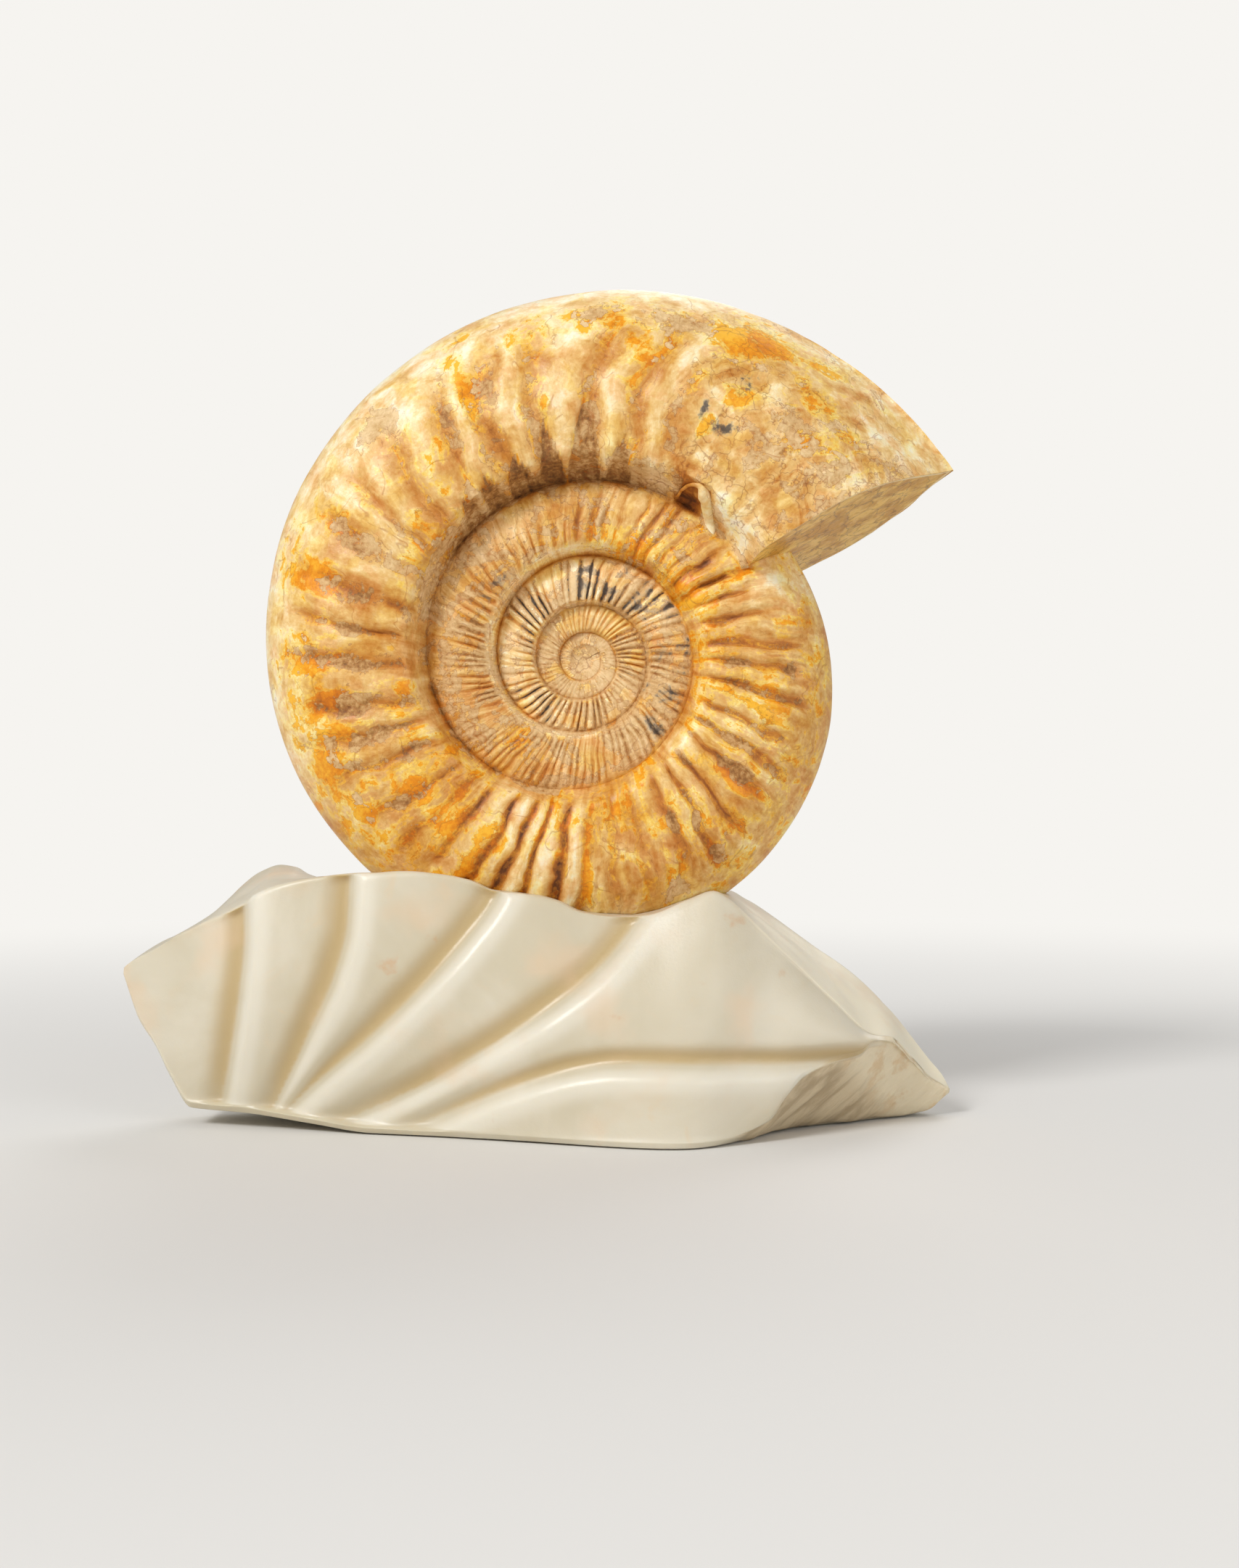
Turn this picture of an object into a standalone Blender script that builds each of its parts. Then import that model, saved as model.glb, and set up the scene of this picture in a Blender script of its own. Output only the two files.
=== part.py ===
"""A whole ammonite fossil standing upright in the top of a carved, polished stone base.

Two solids are built: "ammonite", one coiled shell, and "stone_base", the stone that it is let into.
The coil lies in the XZ plane with its axis along Y. One flank faces -Y, which is the object's front,
and the mouth's end face is at the upper right. +Z is up, and the base's flat underside is at z = 0.
"""

import math

import bpy
import numpy as np

MM = 0.001

# The coil. Angles are in degrees and grow with the shell, clockwise from +X as seen from the front.
TURN = 360.0
WHORLS = 4  # modelled turns, the last of them free to the mouth
MOUTH_ANGLE = 331.0
COIL_CENTRE = (0.0, 164.0 * MM)  # x and z of the coil's axis
MOUTH_RADIUS = 146.4 * MM  # from the axis to the keel at the mouth
KEEL_GROWTH = 1.779  # how much the keel's radius grows in a turn
KEEL_LEAN = 0.0248  # share by which the coil is drawn out towards KEEL_LEAN_ANGLE
KEEL_LEAN_ANGLE = 39.0
MOUTH_HALF_THICKNESS = 35.0 * MM
THICKNESS_GROWTH = 1.74
# Radius of the seam where each whorl meets the one inside it, every sixth of a turn inwards from the mouth.
SEAM_STEP = 60.0
SEAM_RADII_MM = (
    (64.5, 61.8, 57.2, 52.0, 45.4, 39.2),
    (37.6, 36.6, 32.2, 28.7, 25.2, 23.0),
    (21.2, 19.2, 17.7, 15.9, 13.7, 12.2),
    (10.7, 9.7, 8.9, 8.1, 7.2, 6.3),
    (5.6,),
)
CENTRE_DOME = 2.4 * MM  # half thickness at the very middle
FIRST_TURN_SEAM = 0.8  # half thickness at the first turn's seam, as a share of that whorl's largest

# One whorl's section. u runs from 0 at the seam to 1 at the keel.
THICKEST_AT = 0.38
SEAM_SIDE_FALL = 0.12  # how much thinner the flank is at the seam than at its thickest
KEEL_POWER = 1.9
KEEL_SHARPNESS = 0.62
MOUTH_SHARPNESS = 1.3  # the whorl narrows to a lancet at the mouth
WALL_WIDTH = 0.09  # the steep wall that rises from the seam
HIDDEN_FROM = 0.591  # u where the next whorl covers this one
ROWS_SHOWN = (0.0, 0.11, 0.35, 0.68, 1.0)  # shares of HIDDEN_FROM
ROWS_TO_KEEL = (0.73, 0.86, 0.95, 1.0)

# The last turn's ribs are one step up and one step down, and fade before the keel and near the mouth.
RIBS_PER_TURN = 38
STEPS_PER_TURN = 2 * RIBS_PER_TURN
RIB_HEIGHT = 0.017  # share of the keel's radius
RIB_START = 0.1  # u where ribs begin to rise from the wall
RIB_END = 0.86  # u where they have polished away
RIB_FADE = 0.24
LAST_RIB_ANGLE = 293.0
FIRST_RIB_ANGLE = -29.0
RIB_FADE_ANGLE = 14.0

# The mouth's end face isn't square to the coil.
MOUTH_TWIST = 6.6  # degrees by which the far flank reaches beyond the near one
TWIST_AT_KEEL = 0.25  # share of the twist that the keel takes; the near flank takes less, the far one more
MOUTH_SPAN = 34.0  # degrees over which the mouth's own shape dies away

# The base. Each rail is one of its long edges, as (x, y, z) in millimetres from the left tip to the right.
FOOT_FRONT = (
    (-164, 1, 53), (-158, -3, 37), (-151, -5, 27), (-145.5, -6, 16.4), (-138, -8, 6),
    (-117, -14, 5), (-94, -20, 2.4), (-72, -26, 0), (-50, -31, 0), (-25, -39, 0), (0, -48, 0), (20, -54, 0),
    (33, -56, 0), (43, -53, 0), (50, -44, 0), (66, -23, 0), (96, -4, 0), (113, 8, 0),
    (124, 12, 2), (132, 14, 8),
)  # fmt: skip
BREAK_EDGE = (
    (-164, 0.5, 53.5), (-158, -4.5, 39), (-151, -7, 29), (-145.5, -8.5, 19), (-138, -10.5, 9),
    (-117, -16.5, 8), (-94, -22.5, 5.2), (-72, -28.5, 3), (-50, -33.5, 2.8), (-25, -41.5, 2.8), (0, -50, 2.8),
    (20, -55.5, 2.8), (33, -57, 2.8), (43, -54.5, 2.8), (50, -48, 3.2), (62.5, -42.5, 7.5),
    (68.7, -40.5, 15.4), (75, -38, 22.4), (85, -33.5, 26.3), (95.8, -27, 28.2), (100, -22.5, 31),
    (108, -10, 29), (116, 0, 21.5), (124, 8, 13.5), (132, 13.5, 8.8),
)  # fmt: skip
RIM_FRONT = (
    (-164, 1, 54.2), (-150, -8.5, 62.5), (-134, -17, 71), (-117, -24, 78.4), (-113, -26, 82),
    (-100, -28, 86.8), (-88, -29, 88.8), (-75, -30, 89.8), (-60, -31, 90.6), (-48, -31.5, 89.6),
    (-38, -32, 87.6), (-30.5, -32, 84), (-16, -33, 82.6), (-8, -33, 80.6), (0, -33, 76.8),
    (9, -33, 75.4), (16, -33, 75.2), (24, -33, 76.2), (36, -34, 80.6), (44.5, -34, 83.7),
    (50, -33, 80.5), (61, -31, 69.7), (73, -28, 58.4), (86, -25, 45.7), (100, -21.3, 33.2),
    (108, -9, 31), (116, 1, 23), (124, 9, 15), (132, 14, 9.6),
)  # fmt: skip
RIDGE = (
    (-164, 4, 54.6), (-152, 8, 63.3), (-141.6, 12, 68.4), (-134.5, 18, 73.4), (-126, 24, 82.8),
    (-119.6, 28, 88), (-112.4, 29, 90.4), (-106.5, 29, 89.4), (-102, 28, 86.6), (-95, 26, 84.6),
    (-75, 24, 84), (-38, 24, 82), (-15, 24, 78), (0, 24, 74), (16, 24, 73), (36, 24, 77.5),
    (45, 24, 80.5), (52, 20, 81.4), (59, 17, 78.3), (67, 15, 73), (82, 14, 62.6), (97, 13.5, 52),
    (108, 13.5, 41.4), (116.5, 13.5, 31), (124.6, 14, 20.6), (129.3, 14.5, 15), (132, 14.5, 10.2),
)  # fmt: skip
RIM_BACK = (
    (-164, 6, 54.2), (-150, 14, 61.5), (-134, 25, 69), (-124, 32, 78), (-112, 36, 84.5),
    (-102, 37, 82.5), (-80, 38, 80), (-38, 40, 78), (0, 41, 71), (36, 39, 73), (50, 36, 75),
    (60, 34, 70), (82, 32, 55), (100, 29, 41.5), (116, 24, 25), (126, 19, 15), (132, 15.5, 9.6),
)  # fmt: skip
FOOT_BACK = (
    (-164, 5, 53.3), (-158, 9, 38), (-151, 12, 28), (-145, 14, 17), (-138, 17, 7), (-117, 26, 4.6),
    (-94, 34, 2), (-72, 38, 0), (-50, 42, 0), (0, 46, 0), (60, 44, 0), (90, 37, 0), (110, 29, 0.6),
    (124, 21, 3), (132, 15.5, 8.2),
)  # fmt: skip
BULGE = 6.0 * MM  # how far the middle of the front and back faces stands proud of a straight line
STATIONS = 56
END_CROWDING = 0.25  # how much closer together the stations are towards the two tips
END_FADE = 0.385  # share of half the base's length over which bulge and flutes fade out at a tip
# Points along each side of a cross-section, from the front of the foot round over the top.
SIDE_POINTS = {"break": 2, "face": 17, "bevel": 2, "top": 2, "back": 4, "sole": 2}

# The flutes fan out over the front face. Each is the line of its crease, as (x, z) in millimetres.
FLUTES = (
    ((-119, 90), (-118, 66), (-120, 46), (-124.5, 22), (-130, -4)),
    ((-80.5, 100), (-81.5, 72), (-85.5, 56), (-95, 34), (-107.5, 8), (-113, -4)),
    ((-24, 96), (-32.5, 79.5), (-49.8, 58), (-69.7, 38), (-89.8, 20), (-108, 1), (-112, -4)),
    ((26, 88), (18, 75), (4.2, 58.6), (-15.2, 43.3), (-34.8, 30.2), (-54.6, 18), (-77, 6.6), (-100, -4)),
    ((112, 27.5), (72.4, 27), (47.5, 28.2), (23.4, 28.8), (11.4, 28.6), (-0.5, 26.8), (-12.6, 23.4),
     (-24.8, 18.8), (-37.2, 13.2), (-49.7, 7), (-74, -6)),
)  # fmt: skip
FLUTE_DEPTH = 5.0 * MM
FULL_PETAL = 20.0 * MM  # a petal narrower than this stands out less
STEEP_SIDE = 7.5 * MM  # width of the crease's upper wall
STEEP_SHARE = 0.4  # largest share of a petal that this wall takes
EASY_SIDE = 13.0 * MM  # width of its lower wall
EASY_SHARE = 0.55  # and this one
FLUTE_STEP = 1.5 * MM  # spacing of the points along a smoothed crease
FAR = 1.0  # stands for the distance to a crease where there is none

SOCKET_GAP = 1.4 * MM  # clears the fossil's ribs where it sits in the base
SHARP_ANGLE = 40.0  # edges bent by more than this are shown sharp


def smooth_step(t):
    t = np.clip(t, 0.0, 1.0)
    return t * t * (3.0 - 2.0 * t)


def through(points, at):
    """A smooth curve through points, sorted by their first number, that never runs past them."""
    table = np.array(points, float)
    x, rest = table[:, 0], table[:, 1:]
    rate = np.diff(rest, axis=0) / np.diff(x)[:, None]
    before, after = rate[:-1], rate[1:]
    bend = np.where(before * after > 0, before + after, np.inf)
    slope = np.vstack([rate[:1], 2 * before * after / bend, rate[-1:]])
    i = np.clip(np.searchsorted(x, at, side="right") - 1, 0, len(x) - 2)
    width = (x[i + 1] - x[i])[:, None]
    t = (np.clip(at, x[0], x[-1]) - x[i])[:, None] / width
    return (
        (1 + 2 * t) * (1 - t) ** 2 * rest[i]
        + t * (1 - t) ** 2 * width * slope[i]
        + t * t * (3 - 2 * t) * rest[i + 1]
        + t * t * (t - 1) * width * slope[i + 1]
    )


# ---------------------------------------------------------------- the shell


def keel_radius(angle):
    turns = (angle - MOUTH_ANGLE) / TURN
    lean = KEEL_LEAN * np.cos(np.radians(angle - KEEL_LEAN_ANGLE))
    return MOUTH_RADIUS * KEEL_GROWTH**turns * np.exp(lean)


def half_thickness(angle):
    return MOUTH_HALF_THICKNESS * THICKNESS_GROWTH ** ((angle - MOUTH_ANGLE) / TURN)


def seam_radius(angle):
    radii = [r * MM for turn in SEAM_RADII_MM for r in turn]
    angles = [MOUTH_ANGLE - SEAM_STEP * i for i in range(len(radii))]
    log_radii = [(a, math.log(r)) for a, r in zip(angles[::-1], radii[::-1])]
    return np.exp(through(log_radii, angle)[:, 0])


def near_mouth(angle):
    """1 at the mouth, falling to 0 away from it, and 1 again on the whorl right beneath it."""
    off = (angle - MOUTH_ANGLE + 0.5 * TURN) % TURN - 0.5 * TURN
    return np.exp(-((off / MOUTH_SPAN) ** 2))


def flank(u, angle):
    """Half thickness across a whorl as a share of its largest, leaving out the wall at the seam."""
    inner = 1.0 - SEAM_SIDE_FALL * np.clip((THICKEST_AT - u) / THICKEST_AT, 0, 1) ** 2
    out = np.clip((u - THICKEST_AT) / (1.0 - THICKEST_AT), 0, 1)
    last = near_mouth(angle) * (angle > MOUTH_ANGLE - 0.5 * TURN)
    sharpness = KEEL_SHARPNESS + (MOUTH_SHARPNESS - KEEL_SHARPNESS) * last
    return np.where(u < THICKEST_AT, inner, (1.0 - out**KEEL_POWER) ** sharpness)


def rib_height(angle, u, crest):
    """How far a rib's crest stands above the flank, or the groove beside it lies below."""
    across = smooth_step((u - RIB_START) / RIB_FADE) * smooth_step((RIB_END - u) / RIB_FADE)
    ends = min(angle - FIRST_RIB_ANGLE, LAST_RIB_ANGLE - angle) / RIB_FADE_ANGLE
    half = 0.5 * RIB_HEIGHT * keel_radius(angle)
    return (half if crest else -half) * across * smooth_step(ends)


def covered_at(angle):
    """u of the seam that the next whorl makes on this one."""
    seam = seam_radius(angle)
    return (seam_radius(angle + TURN) - seam) / (keel_radius(angle) - seam)


def seam_height(angle):
    """Half thickness at the seam, where this whorl meets the flank of the one inside it."""
    before = np.maximum(angle - TURN, MOUTH_ANGLE - WHORLS * TURN)
    inside = half_thickness(before) * flank(covered_at(before), before)
    first_turn = angle < MOUTH_ANGLE - (WHORLS - 1) * TURN
    return np.where(first_turn, FIRST_TURN_SEAM * half_thickness(angle), inside)


def whorl_points(angle, u, swell):
    """(radius, half thickness) at the shares u across the whorl at one angle, grown by swell."""
    a = np.full(len(u), float(angle))
    seam, keel = seam_radius(a), keel_radius(a) + swell
    low = seam_height(a)
    high = (half_thickness(a) + swell) * flank(u, a)
    return seam + (keel - seam) * u, low + (high - low) * smooth_step(u / WALL_WIDTH)


def place(angle, radius, y):
    """A point of the shell in space, with the mouth's twist added to its angle."""
    share = TWIST_AT_KEEL + 0.5 * y / MOUTH_HALF_THICKNESS
    turned = math.radians(angle + MOUTH_TWIST * near_mouth(angle) * share)
    x, z = COIL_CENTRE
    return (x + radius * math.cos(turned), y, z - radius * math.sin(turned))


def zip_chains(first, second):
    """Triangles between two chains of vertices that may differ in number, and may share their ends."""
    faces, i, j = [], 0, 0
    while i < len(first) - 1 or j < len(second) - 1:
        forward = (i + 1) / (len(first) - 1) <= (j + 1) / (len(second) - 1)
        if j == len(second) - 1 or (forward and i < len(first) - 1):
            face, i = (first[i], second[j], first[i + 1]), i + 1
        else:
            face, j = (first[i], second[j], second[j + 1]), j + 1
        if len(set(face)) == 3:
            faces.append(face)
    return faces


def shell_mesh(name, swell=0.0, ribbed=True):
    """The whole shell as one closed mesh: a strip wound in a coil on each side, meeting at the keel."""
    vertices, faces = [], []
    n, shown, rows = STEPS_PER_TURN, len(ROWS_SHOWN) - 1, len(ROWS_SHOWN) + len(ROWS_TO_KEEL) - 1
    first_angle = MOUTH_ANGLE - WHORLS * TURN
    last_turn = n * (WHORLS - 1)
    grid = {}
    for side in (-1, 1):
        for j in range(n * WHORLS + 1):
            angle = first_angle + j * TURN / n
            cover = HIDDEN_FROM if j > last_turn else float(covered_at(np.array([angle]))[0])
            u = [cover * share for share in ROWS_SHOWN]
            u += list(ROWS_TO_KEEL) if j >= last_turn else []
            u = np.array(u)
            radius, height = whorl_points(angle, u, swell)
            if ribbed:
                height = height + rib_height(angle, u, crest=j % 2 == 0)
            for i in range(len(u)):
                if i == shown and j <= last_turn:
                    continue  # the next whorl's seam stands for this row
                if i == rows and side == 1:
                    grid[side, j, i] = grid[-1, j, i]
                    continue
                grid[side, j, i] = len(vertices)
                vertices.append(place(angle, radius[i], 0.0 if i == rows else side * height[i]))
        for j in range(last_turn + 1):
            grid[side, j, shown] = grid[side, j + n, 0]
        middle = len(vertices)
        vertices.append(place(0.0, 0.0, side * (CENTRE_DOME + swell)))

        strip = []
        for j in range(n * WHORLS):
            for i in range(rows if j >= last_turn else shown):
                corners = [grid[side, *c] for c in ((j, i), (j + 1, i), (j + 1, i + 1), (j, i + 1))]
                strip.append(corners)
        rim = [grid[side, j, 0] for j in range(n + 1)] + [grid[side, 0, i] for i in range(shown - 1, -1, -1)]
        strip += [(middle, b, a) for a, b in zip(rim, rim[1:])]
        faces += [f[::-1] for f in strip] if side == 1 else strip

    mouth = [grid[-1, n * WHORLS, i] for i in range(rows + 1)]
    mouth += [grid[1, n * WHORLS, i] for i in range(rows - 1, -1, -1)]
    under = [grid[-1, last_turn, i] for i in range(shown, rows + 1)]
    under += [grid[1, last_turn, i] for i in range(rows - 1, shown - 1, -1)]
    faces += zip_chains(mouth, under)
    mesh = bpy.data.meshes.new(name)
    mesh.from_pydata(vertices, [], faces)
    mesh.update()
    return mesh


# ---------------------------------------------------------------- the base


def crease_line(points):
    """A flute's crease as closely spaced points on a smooth curve."""
    p = np.array(points, float) * MM
    along = np.concatenate([[0], np.cumsum(np.linalg.norm(np.diff(p, axis=0), axis=1))])
    at = np.linspace(0, along[-1], int(along[-1] / FLUTE_STEP) + 2)
    return through(np.column_stack([along, p]), at)


def signed_distance(places, line):
    """Distance from each (x, z) place to a crease, positive on its right and lower side."""
    gaps = places[:, None, :] - line[None, :, :]
    nearest = np.argmin((gaps**2).sum(2), axis=1)
    i = np.clip(nearest, 1, len(line) - 2)
    along = line[i + 1] - line[i - 1]
    along /= np.linalg.norm(along, axis=1)[:, None]
    off = places - line[nearest]
    side = along[:, 1] * off[:, 0] - along[:, 0] * off[:, 1]
    return np.where(side > 0, 1, -1) * np.linalg.norm(off, axis=1)


def flute_height(places):
    """How far the carved face stands out at each (x, z) place: nothing in a crease, full on a rib."""
    lines = [crease_line(points) for points in FLUTES]
    starts = [line if line[0, 1] > line[-1, 1] else line[::-1] for line in lines]
    off = [-signed_distance(places, line) for line in starts]
    far = np.full(len(places), FAR)
    height = np.zeros(len(places))
    for left, right in zip([far, *off], [*(-o for o in off), far]):
        inside = (left >= 0) & (right >= 0)
        gap = np.maximum(left + right, 1e-6)
        rise = smooth_step(left / np.minimum(EASY_SIDE, EASY_SHARE * gap))
        fall = smooth_step(right / np.minimum(STEEP_SIDE, STEEP_SHARE * gap))
        full = FLUTE_DEPTH * np.minimum(1.0, gap / FULL_PETAL)
        height = np.where(inside, full * rise * fall, height)
    return height


def base_section(rails, k, bulge):
    """The closed loop of (y, z) points of the base's cross-section at station k."""
    foot, edge, rim, ridge, rim_back, foot_back = (rail[k] for rail in rails)
    sides = (("break", foot, edge), ("face", edge, rim), ("bevel", rim, ridge))
    sides += (("top", ridge, rim_back), ("back", rim_back, foot_back), ("sole", foot_back, foot))
    loop = []
    for side, start, end in sides:
        for t in np.arange(SIDE_POINTS[side]) / SIDE_POINTS[side]:
            y, z = start + (end - start) * t
            if side == "face":
                y -= bulge * math.sin(math.pi * t)
            elif side == "back":
                y += bulge * math.sin(math.pi * t)
            loop.append((y, z))
    return np.array(loop)


def base_mesh(name):
    """The base as sections lofted from the left tip to the right one, with the flutes sunk in its face."""
    named = (FOOT_FRONT, BREAK_EDGE, RIM_FRONT, RIDGE, RIM_BACK, FOOT_BACK)
    left, right = FOOT_FRONT[0][0] * MM, FOOT_FRONT[-1][0] * MM
    middle, reach = 0.5 * (left + right), 0.5 * (right - left)
    even = np.linspace(-1, 1, STATIONS)
    xs = middle + reach * (even + END_CROWDING * (np.sin(0.5 * math.pi * even) - even))
    rails = [through(np.array(rail) * MM, xs) for rail in named]
    vertices, faces = [], []
    size = sum(SIDE_POINTS.values())
    for k, x in enumerate(xs):
        ends = smooth_step((1 - abs(even[k])) / END_FADE)
        loop = base_section(rails, k, BULGE * ends)
        first = SIDE_POINTS["break"]
        carved = slice(first, first + SIDE_POINTS["face"] + 1)
        places = np.column_stack([np.full(len(loop[carved]), x), loop[carved][:, 1]])
        sunk = (FLUTE_DEPTH - flute_height(places)) * ends
        loop[carved, 0] += sunk * np.append(np.ones(SIDE_POINTS["face"]), 0.0)
        vertices += [(x, y, z) for y, z in loop]
    for k in range(STATIONS - 1):
        for i in range(size):
            a, b = k * size + i, k * size + (i + 1) % size
            faces.append((a, a + size, b + size, b))
    last = (STATIONS - 1) * size
    faces.append(tuple(range(size)))
    faces.append(tuple(range(last + size - 1, last - 1, -1)))
    mesh = bpy.data.meshes.new(name)
    mesh.from_pydata(vertices, [], faces)
    mesh.update()
    return mesh


# ---------------------------------------------------------------- objects and materials


def material(name, colour, roughness):
    made = bpy.data.materials.new(name)
    made.use_nodes = True
    shader = made.node_tree.nodes["Principled BSDF"]
    shader.inputs["Base Color"].default_value = (*colour, 1.0)
    shader.inputs["Roughness"].default_value = roughness
    shader.inputs["Metallic"].default_value = 0.0
    return made


def add_object(mesh, finish):
    mesh.shade_smooth()
    mesh.set_sharp_from_angle(angle=math.radians(SHARP_ANGLE))
    mesh.materials.append(finish)
    made = bpy.data.objects.new(mesh.name, mesh)
    bpy.context.scene.collection.objects.link(made)
    return made


def cut_socket(base, cutter):
    """Sinks the fossil's own shape, a little swollen, into the base."""
    cutter.hide_render = True
    cutter.display_type = "WIRE"
    cut = base.modifiers.new("fossil_socket", "BOOLEAN")
    cut.operation = "DIFFERENCE"
    cut.solver = "EXACT"
    cut.object = cutter


def main():
    for old in list(bpy.data.objects):
        bpy.data.objects.remove(old)
    calcite = material("fossil_calcite", (0.66, 0.40, 0.16), 0.4)
    marble = material("polished_marble", (0.78, 0.70, 0.56), 0.3)
    add_object(shell_mesh("ammonite"), calcite)
    base = add_object(base_mesh("stone_base"), marble)
    socket = shell_mesh("socket_cutter", swell=SOCKET_GAP, ribbed=False)
    cut_socket(base, add_object(socket, calcite))


main()
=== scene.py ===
"""A polished ammonite fossil let into a carved stone base, with procedural stone materials.

Angles are in degrees and grow with the shell, clockwise from +X as seen from the front (-Y). A share u
runs across a whorl, from 0 at the seam with the whorl inside it to 1 at the keel.
"""

import functools
import math

import bpy
import numpy as np
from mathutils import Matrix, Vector


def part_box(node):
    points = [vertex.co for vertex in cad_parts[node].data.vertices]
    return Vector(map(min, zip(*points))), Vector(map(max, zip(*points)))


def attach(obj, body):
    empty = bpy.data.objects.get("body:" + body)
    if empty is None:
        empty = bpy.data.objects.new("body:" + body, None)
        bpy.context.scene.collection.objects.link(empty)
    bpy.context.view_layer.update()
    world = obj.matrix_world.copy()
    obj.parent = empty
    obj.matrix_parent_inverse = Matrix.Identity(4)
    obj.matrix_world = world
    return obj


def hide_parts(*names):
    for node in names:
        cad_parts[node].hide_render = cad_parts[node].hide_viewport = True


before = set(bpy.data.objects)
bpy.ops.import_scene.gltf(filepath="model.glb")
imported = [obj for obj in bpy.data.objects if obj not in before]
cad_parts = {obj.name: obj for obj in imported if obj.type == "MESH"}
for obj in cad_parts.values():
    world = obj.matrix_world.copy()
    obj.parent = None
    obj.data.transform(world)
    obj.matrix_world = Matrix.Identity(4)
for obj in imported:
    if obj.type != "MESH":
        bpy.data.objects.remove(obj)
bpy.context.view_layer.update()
shell_low, shell_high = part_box("ammonite")
SHELL_WIDTH_AS_DRAWN = 244.4
MM = (shell_high.x - shell_low.x) / SHELL_WIDTH_AS_DRAWN

# The coil, as in the CAD model, with one more turn at the middle.
TURN = 360.0
WHORLS = 5
MOUTH_ANGLE = 331.0
MOUTH_RADIUS = 146.4 * MM
KEEL_GROWTH = 1.779
KEEL_LEAN = 0.0248  # the share by which the coil is wider than a true spiral at KEEL_LEAN_ANGLE
KEEL_LEAN_ANGLE = 39.0
MOUTH_HALF_THICKNESS = 35.0 * MM
THICKNESS_GROWTH = 1.74
INNERMOST_SEAM = 0.8  # half thickness at the first turn's seam, as a share of its largest
MIDDLE_HEIGHT = 0.6  # the same for the coil's very middle
# Radius of the seam where each whorl meets the one inside it, every sixth of a turn inwards from the mouth.
SEAM_STEP = 60.0
SEAM_RADII_MM = (
    (64.5, 61.8, 57.2, 52.0, 45.4, 39.2),
    (37.6, 36.6, 32.2, 28.7, 25.2, 23.0),
    (21.2, 19.2, 17.7, 15.9, 13.7, 12.2),
    (10.7, 9.7, 8.9, 8.1, 7.2, 6.3),
    (5.6, 5.1, 4.6, 4.1, 3.6, 3.1),
    (2.7,),
)
THICKEST_AT = 0.38  # u
SEAM_SIDE_FALL = 0.12  # how much thinner a whorl is at its seam than there
KEEL_POWER = 1.9
KEEL_SHARPNESS = 0.62
MOUTH_SHARPNESS = 1.3
WALL_WIDTH = 0.09  # u that the wall at the seam takes
HIDDEN_FROM = 0.591  # u from which the next whorl covers this one
MOUTH_TWIST = 6.6  # the end face is cut askew by this many degrees
MOUTH_PIVOT = 0.25  # the share of that twist at the middle of its thickness
MOUTH_SPAN = 34.0

# The fine mesh.
STEPS_PER_TURN = 540
SHOWN_ROWS = 14
KEEL_ROWS = 18
SEAM_ROWS_POWER = 1.15  # above 1 the rows lie closer together towards the seam
MOUTH_RINGS = (0.015, 0.05, 0.12, 0.22, 0.35, 0.5, 0.66, 0.82)


# ---- curves and noise


def ease(t):
    """0 below 0 and 1 above 1, easing in and out between them."""
    t = np.clip(t, 0.0, 1.0)
    return t * t * (3.0 - 2.0 * t)


def between(value, low, high, fade):
    """1 from low to high, easing to 0 over fade on either side."""
    return ease((value - low) / fade + 1.0) * ease((high - value) / fade + 1.0)


def through(points, at):
    """A smooth curve through points, sorted by their first number, that never runs past them."""
    table = np.array(points, float)
    x, rest = table[:, 0], table[:, 1:]
    rate = np.diff(rest, axis=0) / np.diff(x)[:, None]
    before, after = rate[:-1], rate[1:]
    bend = np.where(before * after > 0, before + after, np.inf)
    slope = np.vstack([rate[:1], 2 * before * after / bend, rate[-1:]])
    i = np.clip(np.searchsorted(x, at, side="right") - 1, 0, len(x) - 2)
    width = (x[i + 1] - x[i])[..., None]
    t = (np.clip(at, x[0], x[-1]) - x[i])[..., None] / width
    return (
        (1 + 2 * t) * (1 - t) ** 2 * rest[i]
        + t * (1 - t) ** 2 * width * slope[i]
        + t * t * (3 - 2 * t) * rest[i + 1]
        + t * t * (t - 1) * width * slope[i + 1]
    )


def bell(off, width):
    return np.exp(-((off / width) ** 2))


def noise(points, size, seed=0):
    """Smooth noise from -1 to 1 whose bumps are about size wide. It is the same on every run."""
    scaled = points / size + 31.7 * seed
    cell = np.floor(scaled).astype(np.int64)
    inside = ease(scaled - cell)
    total = np.zeros(len(points))
    for corner in np.ndindex(2, 2, 2):
        i, j, k = (cell + np.array(corner)).T
        mixed = (i * 73856093) ^ (j * 19349663) ^ (k * 83492791) ^ (seed * 2654435761)
        mixed = ((mixed ^ (mixed >> 13)) * 1274126177) & 0xFFFFFFFF
        value = ((mixed ^ (mixed >> 16)) & 0xFFFF) / 32767.5 - 1.0
        total += value * np.where(corner, inside, 1.0 - inside).prod(axis=1)
    return total


def layered_noise(points, size, octaves, seed=0):
    """The same with finer bumps laid on it, each layer half the size of the one before."""
    return sum(noise(points, size / 2**n, seed + n) / 1.8**n for n in range(octaves))


# ---- the shell's form


def keel_radius(angle):
    lean = KEEL_LEAN * np.cos(np.radians(angle - KEEL_LEAN_ANGLE))
    return MOUTH_RADIUS * KEEL_GROWTH ** ((angle - MOUTH_ANGLE) / TURN) * np.exp(lean)


def half_thickness(angle):
    return MOUTH_HALF_THICKNESS * THICKNESS_GROWTH ** ((angle - MOUTH_ANGLE) / TURN)


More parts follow.
